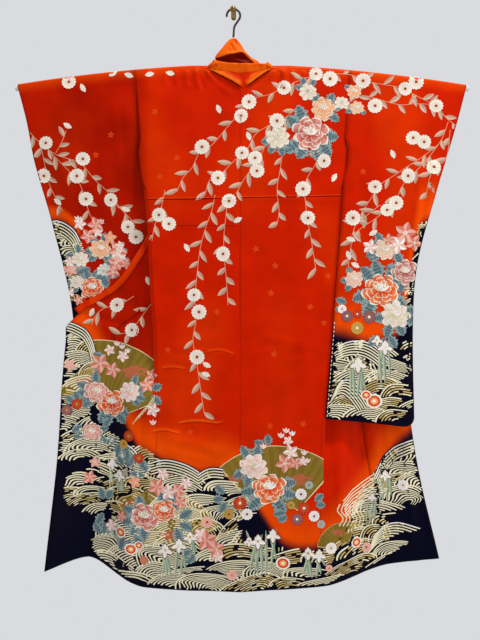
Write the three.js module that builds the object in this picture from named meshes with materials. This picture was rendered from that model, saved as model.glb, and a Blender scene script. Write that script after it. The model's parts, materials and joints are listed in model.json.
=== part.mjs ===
// A lined furisode (long-sleeved formal kimono) on a kimono hanger, hung from a wall hook.
// Millimetres, +Z up. The wall is the plane y = 0, and the garment hangs on its -y side with
// its back outwards and its two fronts swung out sideways. The origin is the middle of the
// wall hook's back plate, on the wall.
//
// Each half is laid out in its own terms: x runs outwards from the centre seam, depth is the
// distance off the wall, and down runs from 0 at the shoulder fold to 1 at the hem.
import * as THREE from 'three';

// ---- driving sizes ----
const clothWall = 2;
const seamGap = 0.3;
const bodyLength = 1600;
const shoulderTop = -181;
const garmentShift = 20;
const rodDepth = 45;
const rodRadius = 8;
const clothOnRod = rodRadius + 0.9 + clothWall / 2;
const sideTurn = clothOnRod;
const curlRadius = 5;
const neckHalfWidth = 98;
const neckDrop = 14;
const armholeEnd = 230 / bodyLength;
const sideSeamStart = 360 / bodyLength;
const okumiTop = 0.17;
const collarReach = 20;
const collarFoldRadius = 3;
const cuffOpening = 230;
const hangSlope = 10;

// ---- the two halves ----
// edge: side edge of the back. fold: where the front folds back behind it. reach: how far out
// the front's free edge lies.
const leftHalf = {
  sign: -1,
  outline: [
    { down: 0, edge: 327, fold: 98, reach: 98 },
    { down: 0.09, edge: 315, fold: 98, reach: 120 },
    { down: 0.14, edge: 309, fold: 99, reach: 170 },
    { down: 0.31, edge: 281, fold: 104, reach: 279 },
    { down: 0.37, edge: 278, fold: 128, reach: 333 },
    { down: 0.425, edge: 274, fold: 165, reach: 391 },
    { down: 0.466, edge: 270, fold: 202, reach: 465 },
    { down: 0.5, edge: 266, fold: 238, reach: 530 },
    { down: 0.55, edge: 262, fold: 270, reach: 539 },
    { down: 0.64, edge: 259, fold: 270, reach: 549 },
    { down: 0.8, edge: 268, fold: 270, reach: 557 },
    { down: 1, edge: 286, fold: 290, reach: 575 },
  ],
  unfold: { from: 0.53, to: 0.66 },
  // valley: where the overlap's seam lies nearest the wall. edgeDepth: the free edge's depth.
  swing: [
    { down: 0, valley: 300, valleyDepth: 30, edgeDepth: 30 },
    { down: 0.31, valley: 320, valleyDepth: 27, edgeDepth: 27 },
    { down: 0.5, valley: 400, valleyDepth: 24, edgeDepth: 22 },
    { down: 0.75, valley: 440, valleyDepth: 15, edgeDepth: 48 },
    { down: 1, valley: 469, valleyDepth: 6, edgeDepth: 113 },
  ],
  hem: [
    { x: 0, z: -1781 },
    { x: 286, z: -1766 },
    { x: 380, z: -1736 },
    { x: 469, z: -1697 },
    { x: 575, z: -1698 },
  ],
  sleeve: [
    { fall: 0, outer: 676, outerDepth: 54.5, innerDepth: 35.5 },
    { fall: 110, outer: 650, outerDepth: 50, innerDepth: 30 },
    { fall: 230, outer: 631, outerDepth: 38, innerDepth: 22 },
    { fall: 410, outer: 586, outerDepth: 20, innerDepth: 10 },
    { fall: 700, outer: 524, outerDepth: 8.6, innerDepth: 3.6 },
    { fall: 1058, outer: 505, outerDepth: 8.6, innerDepth: 3.6 },
  ],
  // How far the sleeve's two layers stay outside the body's edge below the armhole.
  sleeveLap: { outer: -14, inner: -14 },
};

const rightHalf = {
  sign: 1,
  outline: [
    { down: 0, edge: 339, fold: 98, reach: 98 },
    { down: 0.09, edge: 331, fold: 98, reach: 120 },
    { down: 0.14, edge: 325, fold: 99, reach: 170 },
    { down: 0.31, edge: 306, fold: 106, reach: 290 },
    { down: 0.425, edge: 292, fold: 165, reach: 410 },
    { down: 0.5, edge: 284, fold: 240, reach: 500 },
    { down: 0.55, edge: 278, fold: 290, reach: 510 },
    { down: 0.7, edge: 259, fold: 290, reach: 527 },
    { down: 0.826, edge: 255, fold: 290, reach: 556 },
    { down: 1, edge: 251, fold: 290, reach: 614 },
  ],
  unfold: { from: 0.68, to: 0.8 },
  swing: [
    { down: 0, valley: 300, valleyDepth: 29, edgeDepth: 29 },
    { down: 0.31, valley: 320, valleyDepth: 26, edgeDepth: 26 },
    { down: 0.5, valley: 400, valleyDepth: 22, edgeDepth: 18 },
    { down: 0.7, valley: 415, valleyDepth: 20, edgeDepth: 22 },
    { down: 1, valley: 462, valleyDepth: 13, edgeDepth: 30 },
  ],
  hem: [
    { x: 0, z: -1781 },
    { x: 251, z: -1763 },
    { x: 350, z: -1742 },
    { x: 462, z: -1717 },
    { x: 614, z: -1693 },
  ],
  sleeve: [
    { fall: 0, outer: 688, outerDepth: 54.5, innerDepth: 35.5 },
    { fall: 110, outer: 660, outerDepth: 55, innerDepth: 37 },
    { fall: 225, outer: 627, outerDepth: 57.5, innerDepth: 40 },
    { fall: 320, outer: 599, outerDepth: 60, innerDepth: 42 },
    { fall: 560, outer: 537, outerDepth: 62, innerDepth: 45 },
    { fall: 750, outer: 523, outerDepth: 63.5, innerDepth: 47 },
    { fall: 1058, outer: 527, outerDepth: 65.5, innerDepth: 50 },
  ],
  sleeveLap: { outer: -4, inner: 2.6 },
};

// Creases on the outer faces. Each runs from one end to the other as a soft ridge, or as a
// trough where its height is below zero. x is measured outwards, down in fall below the
// shoulder in millimetres.
const backCreases = [
  { x0: -4, down0: 45, x1: 96, down1: 2, width: 9, height: 5 },
  { x0: 30, down0: 62, x1: 110, down1: 12, width: 8, height: -3 },
  { x0: 120, down0: 6, x1: 150, down1: 70, width: 8, height: 3 },
  { x0: 150, down0: 4, x1: 190, down1: 60, width: 9, height: -3 },
  { x0: 0, down0: 402, x1: 300, down1: 406, width: 7, height: 2.5 },
  { x0: 60, down0: 820, x1: 250, down1: 870, width: 16, height: 3 },
  { x0: 40, down0: 1180, x1: 250, down1: 1120, width: 16, height: 3.5 },
  { x0: 190, down0: 700, x1: 215, down1: 1500, width: 26, height: 4 },
  { x0: 100, down0: 900, x1: 90, down1: 1590, width: 30, height: -4 },
];
const leftFrontCreases = [
  { x0: 300, down0: 560, x1: 372, down1: 690, width: 14, height: 9 },
  { x0: 296, down0: 660, x1: 330, down1: 900, width: 12, height: 7 },
  { x0: 400, down0: 700, x1: 510, down1: 765, width: 12, height: 6 },
  { x0: 350, down0: 800, x1: 520, down1: 790, width: 12, height: -4 },
  { x0: 330, down0: 1000, x1: 345, down1: 1590, width: 22, height: 7 },
  { x0: 395, down0: 1050, x1: 400, down1: 1560, width: 18, height: -5 },
];
const rightFrontCreases = [
  { x0: 310, down0: 1050, x1: 325, down1: 1560, width: 20, height: 8 },
  { x0: 362, down0: 1040, x1: 385, down1: 1590, width: 18, height: -6 },
  { x0: 410, down0: 1060, x1: 432, down1: 1520, width: 17, height: 6 },
  { x0: 492, down0: 1080, x1: 540, down1: 1590, width: 20, height: 5 },
];
const leftSleeveCreases = [
  { x0: 380, down0: 40, x1: 360, down1: 420, width: 22, height: 4 },
  { x0: 450, down0: 60, x1: 430, down1: 600, width: 24, height: -3 },
  { x0: 560, down0: 80, x1: 500, down1: 640, width: 20, height: 3 },
  { x0: 620, down0: 150, x1: 560, down1: 520, width: 14, height: -2 },
];
const rightSleeveCreases = [
  { x0: 588, down0: 250, x1: 556, down1: 560, width: 10, height: 6 },
  { x0: 566, down0: 300, x1: 530, down1: 640, width: 9, height: -5 },
  { x0: 545, down0: 320, x1: 508, down1: 900, width: 11, height: 5 },
  { x0: 420, down0: 60, x1: 400, down1: 520, width: 24, height: 3 },
  { x0: 350, down0: 200, x1: 330, down1: 900, width: 18, height: 4 },
];

// ---- colours ----
const vermilion = 0xd8300c;
const paleVermilion = 0xe24a14;
const lining = 0xe8601c;
const hangerWhite = 0xe9e4da;
const aubergine = 0x2c1420;
const brass = 0xb08a3c;
const loopWhite = 0xf2efe8;

// ---- reading the tables ----
const { lerp, smoothstep, clamp } = THREE.MathUtils;

// A smooth curve through a column of a table, read at a value of its key column.
function read(table, key, column, at) {
  const last = table.length - 1;
  if (at <= table[0][key]) return table[0][column];
  if (at >= table[last][key]) return table[last][column];
  let i = 0;
  while (table[i + 1][key] < at) i += 1;
  const slope = (a, b) => (table[b][column] - table[a][column]) / (table[b][key] - table[a][key]);
  const span = table[i + 1][key] - table[i][key];
  const t = (at - table[i][key]) / span;
  const startSlope = slope(Math.max(i - 1, 0), i + 1) * span;
  const endSlope = slope(i, Math.min(i + 2, last)) * span;
  const rise = table[i + 1][column] - table[i][column];
  const curve = rise * t * t * (3 - 2 * t);
  return table[i][column] + curve + startSlope * t * (1 - t) ** 2 - endSlope * t * t * (1 - t);
}

// How far the creases lift a point of the cloth off its smooth surface.
function creaseLift(creases, x, fall) {
  let lift = 0;
  for (const crease of creases) {
    const runX = crease.x1 - crease.x0;
    const runDown = crease.down1 - crease.down0;
    const length = Math.hypot(runX, runDown);
    const along = ((x - crease.x0) * runX + (fall - crease.down0) * runDown) / length ** 2;
    const aside = ((x - crease.x0) * runDown - (fall - crease.down0) * runX) / length;
    const fade = smoothstep(along, -0.15, 0.2) * (1 - smoothstep(along, 0.8, 1.15));
    lift += crease.height * fade * Math.exp(-((aside / crease.width) ** 2));
  }
  return lift > 0 ? lift : lift * smoothstep(fall, 75, 110);
}

// ---- where the cloth hangs ----
// The hanger's arms droop outwards, and the shoulder fold with them.
function shoulderZ(x) {
  const out = Math.max(0, Math.abs(x) - 150);
  return shoulderTop - 0.055 * out - 0.0001 * out ** 2;
}

function rodZ(x) {
  return shoulderZ(x) - clothOnRod - clothWall / 2;
}

// Heights of the rows down a front, closer together where its edge starts to curl.
const shoulderRows = [0, 0.012, 0.03, 0.055, 0.09];
const evenRows = 24;
const frontDowns = [
  ...shoulderRows,
  ...Array.from({ length: evenRows + 1 }, (_, i) => lerp(0.13, 1, i / evenRows)),
];
const collarRows = shoulderRows.length + 11;
const collarEnd = frontDowns[collarRows - 1];

function backDepth(down) {
  return rodDepth + clothOnRod + hangSlope * down;
}

function place(half, x, depth, z) {
  return new THREE.Vector3(half.sign * x, -depth, z);
}

function hangZ(half, x, down) {
  return lerp(rodZ(Math.min(x, half.outline[0].edge)), read(half.hem, 'x', 'z', x), down);
}

// The cross-section of a front at one height, walked from the side seam to the free edge. It
// turns in behind the back, runs inwards to the fold, curls round it and comes out again.
function frontSection(half, down) {
  const edge = read(half.outline, 'down', 'edge', down);
  const fold = read(half.outline, 'down', 'fold', down);
  const reach = read(half.outline, 'down', 'reach', down);
  const turn = Math.PI * (1 - smoothstep(down, half.unfold.from, half.unfold.to));
  const start = Math.PI * (1 - smoothstep(down, armholeEnd + 0.02, sideSeamStart));
  const curl = Math.min(turn, Math.PI * smoothstep(down, 0.004, 0.09));
  const centre = { x: edge - sideTurn, depth: backDepth(down) - sideTurn };
  const points = [];
  const arcSteps = 8;
  for (let i = 0; i <= arcSteps; i += 1) {
    const heading = lerp(Math.min(start, turn), turn, i / arcSteps);
    points.push({
      x: centre.x + sideTurn * Math.sin(heading),
      depth: centre.depth + sideTurn * Math.cos(heading),
    });
  }
  let tip = points.at(-1);
  const inward = Math.max(0, tip.x - fold) * smoothstep(turn, 3, Math.PI);
  const legSteps = 8;
  for (let i = 1; i <= legSteps && inward > 1; i += 1) {
    points.push({ x: tip.x - inward * (i / legSteps), depth: tip.depth });
  }
  tip = points.at(-1);
  for (let i = 1; i <= arcSteps && curl > 0.01; i += 1) {
    const heading = turn - curl * (i / arcSteps);
    points.push({
      x: tip.x + curlRadius * (Math.sin(turn) - Math.sin(heading)),
      depth: tip.depth + curlRadius * (Math.cos(turn) - Math.cos(heading)),
    });
  }
  tip = points.at(-1);
  const bandShare = 1 - smoothstep(down, collarEnd + 0.004, collarEnd + 0.03);
  const curled = turn > 0.01 ? smoothstep(curl / turn, 0.95, 1) : 1;
  const outward = (reach - collarReach * bandShare - tip.x) * curled;
  const hidden = Math.max(tip.x, edge + 4);
  const valley = read(half.swing, 'down', 'valley', down);
  const valleyDepth = read(half.swing, 'down', 'valleyDepth', down);
  const edgeDepth = read(half.swing, 'down', 'edgeDepth', down);
  const outSteps = 26;
  for (let i = 1; i <= outSteps && outward > 1; i += 1) {
    const x = tip.x + outward * (i / outSteps);
    const toValley = smoothstep(x, hidden, valley);
    const toEdge = clamp((x - valley) / Math.max(1, reach - valley), 0, 1);
    const shown = smoothstep(x, edge, edge + 60);
    const swung = lerp(valleyDepth, edgeDepth, toEdge ** 1.3);
    points.push({ x, depth: lerp(lerp(tip.depth, valleyDepth, toValley), swung, x > valley ? 1 : 0), shown });
  }
  return measure(points);
}

// Adds to each point the cloth's length so far, and a count that also grows with each bend.
function measure(points) {
  let length = 0;
  let count = 0;
  let lastHeading = null;
  points.forEach((point, i) => {
    if (i > 0) {
      const before = points[i - 1];
      const step = Math.hypot(point.x - before.x, point.depth - before.depth);
      const heading = Math.atan2(point.depth - before.depth, point.x - before.x);
      const bend = lastHeading === null ? 0 : Math.abs(Math.atan2(
        Math.sin(heading - lastHeading), Math.cos(heading - lastHeading)));
      length += step;
      count += step + 40 * bend;
      lastHeading = heading;
    }
    point.length = length;
    point.count = count;
  });
  return points;
}

function between(points, key, at) {
  let i = 1;
  while (i < points.length - 1 && points[i][key] < at) i += 1;
  const span = points[i][key] - points[i - 1][key];
  const t = span > 0 ? clamp((at - points[i - 1][key]) / span, 0, 1) : 1;
  return {
    x: lerp(points[i - 1].x, points[i].x, t),
    depth: lerp(points[i - 1].depth, points[i].depth, t),
    count: lerp(points[i - 1].count, points[i].count, t),
    shown: lerp(points[i - 1].shown ?? 0, points[i].shown ?? 0, t),
  };
}

// The part of a section between two lengths, as evenly counted points.
function spread(section, from, to, columns) {
  const first = between(section, 'length', from).count;
  const last = between(section, 'length', to).count;
  return Array.from({ length: columns + 1 }, (_, i) => (
    between(section, 'count', lerp(first, last, i / columns))));
}

// Where a front starts to curl, its seam with the collar needs a little more room.
function curlGap(down) {
  return 0.8 * (1 - smoothstep(down, 0.1, 0.16));
}

function okumiWidth(down) {
  return lerp(6, 150, smoothstep(down, okumiTop, 0.5));
}

// ---- closed walls of cloth ----
function unitStep(from, to) {
  return new THREE.Vector3().subVectors(to, from).normalize();
}

// The cloth's normal at each point of a grid whose rows may start at different columns.
function gridNormals(rows) {
  const pick = (i, c) => rows[i]?.points[c + rows[i].extra];
  return rows.map((row, i) => row.points.map((point, j) => {
    const c = j - row.extra;
    const atSeam = row.extra > 0 && (c === 0 || c === -1);
    const ahead = unitStep(point, pick(i, atSeam ? 1 : c + 1) ?? point);
    const behind = unitStep(pick(i, atSeam ? -2 : c - 1) ?? point, point);
    const along = new THREE.Vector3().subVectors(pick(i + 1, c) ?? point, pick(i - 1, c) ?? point);
    return ahead.add(behind).cross(along).normalize();
  }));
}

// A grid of points becomes a closed shell, with the wall's thickness shared by its two faces.
function clothShell(grid, normals = gridNormals(grid.map((points) => ({ points, extra: 0 })))) {
  const rows = grid.length;
  const columns = grid[0].length;
  const positions = [];
  for (const side of [0.5, -0.5]) {
    for (let i = 0; i < rows; i += 1) {
      for (let j = 0; j < columns; j += 1) {
        const point = grid[i][j].clone().addScaledVector(normals[i][j], side * clothWall);
        positions.push(point.x, point.y, point.z);
      }
    }
  }
  const at = (side, i, j) => side * rows * columns + i * columns + j;
  const faces = [];
  const quad = (a, b, c, d) => faces.push(a, b, c, a, c, d);
  for (let i = 0; i < rows - 1; i += 1) {
    for (let j = 0; j < columns - 1; j += 1) {
      quad(at(0, i, j), at(0, i, j + 1), at(0, i + 1, j + 1), at(0, i + 1, j));
      quad(at(1, i, j), at(1, i + 1, j), at(1, i + 1, j + 1), at(1, i, j + 1));
    }
    quad(at(0, i, 0), at(0, i + 1, 0), at(1, i + 1, 0), at(1, i, 0));
    quad(at(0, i, columns - 1), at(1, i, columns - 1), at(1, i + 1, columns - 1), at(0, i + 1, columns - 1));
  }
  for (let j = 0; j < columns - 1; j += 1) {
    quad(at(0, 0, j), at(1, 0, j), at(1, 0, j + 1), at(0, 0, j + 1));
    quad(at(0, rows - 1, j), at(0, rows - 1, j + 1), at(1, rows - 1, j + 1), at(1, rows - 1, j));
  }
  return closedGeometry(positions, faces);
}

// Turns the faces outwards where a mirrored grid has left them facing in.
function closedGeometry(positions, faces) {
  const corner = (k) => new THREE.Vector3().fromArray(positions, 3 * k);
  let volume = 0;
  for (let k = 0; k < faces.length; k += 3) {
    volume += corner(faces[k]).dot(corner(faces[k + 1]).cross(corner(faces[k + 2])));
  }
  const geometry = new THREE.BufferGeometry();
  geometry.setAttribute('position', new THREE.Float32BufferAttribute(positions, 3));
  geometry.setIndex(volume < 0 ? faces.reverse() : faces);
  geometry.computeVertexNormals();
  return geometry;
}

function piece(name, geometry, color, roughness = 0.6, metalness = 0) {
  const mesh = new THREE.Mesh(geometry, new THREE.MeshStandardMaterial({ color, roughness, metalness }));
  mesh.name = name;
  return mesh;
}

// ---- body and overlap: one length of cloth from the back hem over the shoulder to the front
// hem, and a long wedge beside its front edge, on one grid so that their seam stays even ----
const bodyColumns = 16;
const okumiColumns = 6;
const backDowns = [1, 0.87, 0.75, 0.64, 0.54, 0.45, 0.37, 0.31, 0.27, 0.2375, 0.206, 0.164, 0.128, 0.075];
const neckRows = 5;
const neckRowDown = 0.045;
const turnRows = 6;

function halfRows(half) {
  const rows = [];
  const backRow = (down, inner, innerZ) => {
    const fall = down * bodyLength;
    const openSide = smoothstep(fall, 205, 262) * (1 - smoothstep(fall, 330, 380));
    const outer = read(half.outline, 'down', 'edge', down) - sideTurn * (1 - openSide) - seamGap;
    const points = Array.from({ length: bodyColumns + 1 }, (_, j) => {
      const u = j / bodyColumns;
      const x = lerp(inner, outer, u);
      const z = lerp(innerZ ?? hangZ(half, x, down), hangZ(half, x, down), smoothstep(u, 0, 0.5));
      const lift = creaseLift(backCreases, x, down * bodyLength) * (1 - u ** 8);
      return place(half, x, backDepth(down) + lift, z);
    });
    rows.push({ points, extra: 0 });
  };
  for (const down of backDowns) backRow(down, seamGap / 2);
  for (let i = 0; i <= neckRows; i += 1) {
    const round = (Math.PI / 2) * (i / neckRows);
    const neckZ = rodZ(0) - neckDrop * Math.cos(round);
    backRow(lerp(neckRowDown, 0, i / neckRows), seamGap / 2 + neckHalfWidth * Math.sin(round), neckZ);
  }
  const shoulderEdge = half.outline[0].edge - sideTurn - seamGap;
  for (let i = 1; i < turnRows; i += 1) {
    const round = Math.PI * (i / turnRows);
    const points = Array.from({ length: bodyColumns + 1 }, (_, j) => {
      const x = lerp(neckHalfWidth + seamGap / 2, shoulderEdge, j / bodyColumns);
      return place(half, x, rodDepth + clothOnRod * Math.cos(round), rodZ(x) + clothOnRod * Math.sin(round));
    });
    rows.push({ points, extra: 0 });
  }
  for (const down of frontDowns) {
    const section = frontSection(half, down);
    const whole = section.at(-1).length;
    const hasOkumi = down > okumiTop;
    const seam = whole - (hasOkumi ? okumiWidth(down) : 0);
    const runs = [spread(section, seamGap, seam - seamGap / 2 - curlGap(down), bodyColumns)];
    if (hasOkumi) runs.push(spread(section, seam + seamGap / 2, whole - seamGap / 2, okumiColumns));
    const creases = half === leftHalf ? leftFrontCreases : rightFrontCreases;
    const points = runs.flat().reverse().map((point) => {
      const lift = point.shown * creaseLift(creases, point.x, down * bodyLength);
      return place(half, point.x, point.depth + lift, hangZ(half, point.x, down));
    });
    rows.push({ points, extra: hasOkumi ? okumiColumns + 1 : 0 });
  }
  return rows;
}

function bodyAndOkumi(half, bodyName, okumiName) {
  const rows = halfRows(half);
  const normals = gridNormals(rows);
  const body = rows.map((row) => row.points.slice(row.extra));
  const bodyNormals = normals.map((row, i) => row.slice(rows[i].extra));
  const withOkumi = rows.filter((row) => row.extra > 0);
  const okumi = withOkumi.map((row) => row.points.slice(0, row.extra));
  const okumiNormals = normals.filter((_, i) => rows[i].extra > 0).map((row) => row.slice(0, okumiColumns + 1));
  return [
    piece(bodyName, clothShell(body, bodyNormals), vermilion, 0.5),
    piece(okumiName, clothShell(okumi, okumiNormals), paleVermilion, 0.5),
  ];
}

// ---- sleeve: one length folded over the hanger's arm, its layers sewn at the outer edge below
// the cuff opening and along the bottom, and open along its inner edge ----
const sleeveColumns = 9;
const sleeveFalls = [
  1058, 1056, 1050, 1041, 1028, 1003, 930, 840, 750, 665, 580, 510, 450, 405, 365, 330, 300, 262, 235, 205, 130, 60, 0,
];
const sleeveCorner = 34;
const seamPinch = 22;

function sleeve(half, name) {
  const creases = half === leftHalf ? leftSleeveCreases : rightSleeveCreases;
  const layerRow = (fall, layer) => {
    const left = sleeveFalls[0] - fall;
    const armhole = 1 - smoothstep(fall, 195, 255);
    const body = read(half.outline, 'down', 'edge', fall / bodyLength);
    const bodySeam = body - sideTurn + seamGap / 2;
    const free = body + (layer > 0 ? half.sleeveLap.outer : half.sleeveLap.inner);
    const inner = lerp(lerp(body + 2.4, free, smoothstep(fall, 280, 330)), bodySeam, armhole);
    const round = left < sleeveCorner ? sleeveCorner - Math.sqrt(sleeveCorner ** 2 - (sleeveCorner - left) ** 2) : 0;
    const outer = read(half.sleeve, 'fall', 'outer', fall) - round;
    const outerDepth = read(half.sleeve, 'fall', 'outerDepth', fall);
    const innerDepth = read(half.sleeve, 'fall', 'innerDepth', fall);
    const open = outerDepth - innerDepth;
    const sewn = clothWall + seamGap + 0.1;
    const bottomPinch = smoothstep(left, 0, seamPinch);
    return Array.from({ length: sleeveColumns + 1 }, (_, j) => {
      const u = 1 - (1 - j / sleeveColumns) ** 1.25;
      const x = lerp(inner, outer, u);
      const belowCuff = smoothstep(fall, cuffOpening - 20, cuffOpening + 50);
      const edgePinch = lerp(1, smoothstep(outer - x, 0, seamPinch), belowCuff);
      const apart = lerp(sewn, open, edgePinch * bottomPinch);
      const lift = creaseLift(creases, x, fall) * edgePinch * bottomPinch * smoothstep(fall, 0, 60);
      const depth = layer > 0 ? outerDepth + lift : outerDepth - apart + 0.3 * lift;
      return place(half, x, depth, rodZ(x) - fall);
    });
  };
  const grid = [];
  for (const fall of sleeveFalls) grid.push(layerRow(fall, 1));
  for (let i = 1; i < turnRows; i += 1) {
    const round = Math.PI * (i / turnRows);
    grid.push(grid[sleeveFalls.length - 1].map((point) => {
      const x = Math.abs(point.x);
      return place(half, x, rodDepth + clothOnRod * Math.cos(round), rodZ(x) + clothOnRod * Math.sin(round));
    }));
  }
  for (const fall of [...sleeveFalls].reverse()) grid.push(layerRow(fall, -1));
  return piece(name, clothShell(grid), vermilion, 0.5);
}

// ---- collar: one folded band from one front end, round the back of the neck, to the other ----
// fold: how far the band is turned over on itself, in degrees. lean: how far it stands up.
const collarFront = [
  { down: 0, fold: 0 },
  { down: 0.07, fold: 0 },
  { down: 0.12, fold: 90 },
  { down: 0.17, fold: 180 },
];
const collarRod = [
  { round: 150, fold: 0, rise: 0.3 },
  { round: 120, fold: 20, rise: 0.5 },
  { round: 90, fold: 90, rise: 0.62 },
  { round: 60, fold: 140, rise: 0.68 },
  { round: 30, fold: 170, rise: 0.7 },
];
const collarBackHeight = 25;
const collarSideHeight = 34;
const collarBackLean = 0.42;

// Seam points with the band's outward direction and its outer side, from a front end to the nape.
function collarStations(half) {
  const stations = [];
  for (const down of frontDowns.slice(0, collarRows).reverse()) {
    const section = frontSection(half, down);
    const tip = section.at(-1);
    const before = section.at(-2);
    const step = Math.hypot(tip.x - before.x, tip.depth - before.depth);
    const out = { x: (tip.x - before.x) / step, depth: (tip.depth - before.depth) / step };
    stations.push({
      point: place(half, tip.x, tip.depth, hangZ(half, tip.x, down)),
      out: place(half, out.x, out.depth, 0),
      outer: place(half, -out.depth, out.x, 0),
      fold: read(collarFront, 'down', 'fold', down),
      width: collarReach,
      start: seamGap / 2 + curlGap(down),
      tail: lerp(3, 12, smoothstep(down, 0.01, 0.08)),
    });
  }
  for (const rod of collarRod) {
    const round = THREE.MathUtils.degToRad(rod.round);
    stations.push({
      point: place(half, neckHalfWidth, rodDepth + clothOnRod * Math.cos(round),
        rodZ(neckHalfWidth) + clothOnRod * Math.sin(round)),
      out: place(half, -Math.sqrt(1 - rod.rise ** 2), 0, rod.rise),
      outer: place(half, 0, Math.cos(round), Math.sin(round)),
      fold: rod.fold,
      width: lerp(collarSideHeight, collarReach, rod.round / 180),
      start: seamGap / 2 + 0.75 * clothWall * rod.rise,
      tail: 3,
    });
  }
  for (let i = neckRows; i >= 0; i -= 1) {
    const round = (Math.PI / 2) * (i / neckRows);
    const x = neckHalfWidth * Math.sin(round);
    const down = lerp(neckRowDown, 0, i / neckRows);
    const lift = creaseLift(backCreases, x, down * bodyLength);
    stations.push({
      point: place(half, x, backDepth(down) + lift, rodZ(0) - neckDrop * Math.cos(round)),
      out: place(half, -0.7 * Math.sin(round), collarBackLean * Math.cos(round), 0.72 + 0.28 * Math.cos(round)),
      outer: place(half, 0, 1, 0),
      fold: 180,
      width: lerp(collarBackHeight, collarSideHeight, Math.sin(round) ** 2),
      start: seamGap + 0.6 * Math.cos(round),
      tail: 2,
    });
  }
  return stations;
}

// Points across the band: out from the seam, over the fold and back inside.
function collarProfile(station) {
  const fold = THREE.MathUtils.degToRad(station.fold);
  const flat = station.width - collarFoldRadius;
  const points = [0, 0.33, 0.66, 1].map((t) => ({ a: lerp(station.start, flat, t), b: 0 }));
  for (const t of [0.34, 0.67, 1]) {
    const turned = fold * t + 1e-4;
    points.push({
      a: flat + collarFoldRadius * Math.sin(turned) + (Math.PI - fold) * 0.3 * t,
      b: -collarFoldRadius * (1 - Math.cos(turned)),
    });
  }
  const end = points.at(-1);
  for (const t of [0.5, 1]) {
    points.push({
      a: end.a + station.tail * t * Math.cos(fold),
      b: end.b - station.tail * t * Math.sin(fold),
    });
  }
  return points;
}

function collar() {
  const stations = [...collarStations(leftHalf), ...collarStations(rightHalf).slice(0, -1).reverse()];
  const grid = stations.map((station, i) => {
    const before = stations[Math.max(i - 1, 0)].point;
    const after = stations[Math.min(i + 1, stations.length - 1)].point;
    const run = new THREE.Vector3().subVectors(after, before).normalize();
    const out = station.out.clone().addScaledVector(run, -run.dot(station.out)).normalize();
    const normal = new THREE.Vector3().crossVectors(run, out);
    if (normal.dot(station.outer) < 0) normal.negate();
    return collarProfile(station).map(({ a, b }) => (
      station.point.clone().addScaledVector(out, a).addScaledVector(normal, b)));
  });
  return piece('collar', clothShell(grid), paleVermilion, 0.5);
}

// ---- the collar's inner half, drawn up in a peak to the hanger's stem ----
const stemX = -garmentShift;
const peak = [
  { z: -178, left: -60, right: 60, depth: 50.4 },
  { z: -168, left: -66, right: 56, depth: 50.4 },
  { z: -156, left: -72, right: 34, depth: 50.5 },
  { z: -149, left: -68, right: 23, depth: 57 },
  { z: -135, left: -58, right: 12, depth: 56 },
  { z: -118, left: -45, right: 2, depth: 54 },
  { z: -101, left: -30, right: -11, depth: 51 },
];
const peakColumns = 8;
const peakRows = 14;

function collarPeak() {
  const grid = [];
  for (let i = 0; i <= peakRows; i += 1) {
    const z = lerp(peak[0].z, peak.at(-1).z, i / peakRows);
    const left = read(peak, 'z', 'left', z);
    const right = read(peak, 'z', 'right', z);
    const depth = read(peak, 'z', 'depth', z);
    grid.push(Array.from({ length: peakColumns + 1 }, (_, j) => {
      const u = j / peakColumns;
      const wrap = (2 * u - 1) ** 2 * lerp(6, 2, smoothstep(z, -165, -150));
      return new THREE.Vector3(lerp(left, right, u), -(depth - wrap), z);
    }));
  }
  return piece('collar_inner', clothShell(grid), lining, 0.6);
}

// ---- hanger ----
const armSegments = 14;
const stemTop = -62;
const loopRadius = 21;
const hookWire = 3.3;
const loopCentreZ = -27.5;

function circleSection(radius, sides) {
  const shape = new THREE.Shape();
  for (let i = 0; i < sides; i += 1) {
    const round = (2 * Math.PI * i) / sides;
    const [x, y] = [radius * Math.cos(round), radius * Math.sin(round)];
    if (i === 0) shape.moveTo(x, y);
    else shape.lineTo(x, y);
  }
  shape.closePath();
  return shape;
}

function bar(points, radius, steps, sides = 10) {
  const extrudePath = new THREE.CatmullRomCurve3(points);
  return new THREE.ExtrudeGeometry(circleSection(radius, sides), { steps, extrudePath, bevelEnabled: false });
}

function arm(name, fromX, toX) {
  const points = Array.from({ length: armSegments + 1 }, (_, i) => {
    const x = lerp(fromX, toX, i / armSegments);
    return new THREE.Vector3(x, -rodDepth, rodZ(x));
  });
  return piece(name, bar(points, rodRadius, 18), hangerWhite, 0.45);
}

function hub() {
  const block = new THREE.BoxGeometry(26, 1.75 * rodRadius, 2 * rodRadius);
  block.translate(stemX, -rodDepth, rodZ(0));
  return piece('hanger_hub', block, hangerWhite, 0.45);
}

function hook() {
  const points = [];
  const at = (degrees) => {
    const round = THREE.MathUtils.degToRad(degrees);
    return new THREE.Vector3(stemX + loopRadius * Math.cos(round), -rodDepth, loopCentreZ + loopRadius * Math.sin(round));
  };
  for (let degrees = 188; degrees >= -40; degrees -= 19) points.push(at(degrees));
  points.push(new THREE.Vector3(stemX + 5, -rodDepth, stemTop + 6));
  points.push(new THREE.Vector3(stemX, -rodDepth, stemTop - 4));
  points.push(new THREE.Vector3(stemX, -rodDepth, stemTop - 60));
  points.push(new THREE.Vector3(stemX, -rodDepth, rodZ(0) + rodRadius + seamGap));
  return piece('hanger_hook', bar(points, hookWire, 34, 8), aubergine, 0.35, 0.2);
}

function hangingLoop() {
  const [halfWidth, halfDepth, halfDrop, middleZ] = [5.6, 6.6, 7.2, -92.3];
  const points = Array.from({ length: 16 }, (_, i) => {
    const round = (2 * Math.PI * i) / 16;
    return new THREE.Vector3(stemX + halfWidth * Math.cos(round),
      -(rodDepth + halfDepth * Math.sin(round)), middleZ - halfDrop * Math.sin(round));
  });
  return piece('hanging_loop', closedRing(points, 0.9, 5), loopWhite, 0.8);
}

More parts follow.
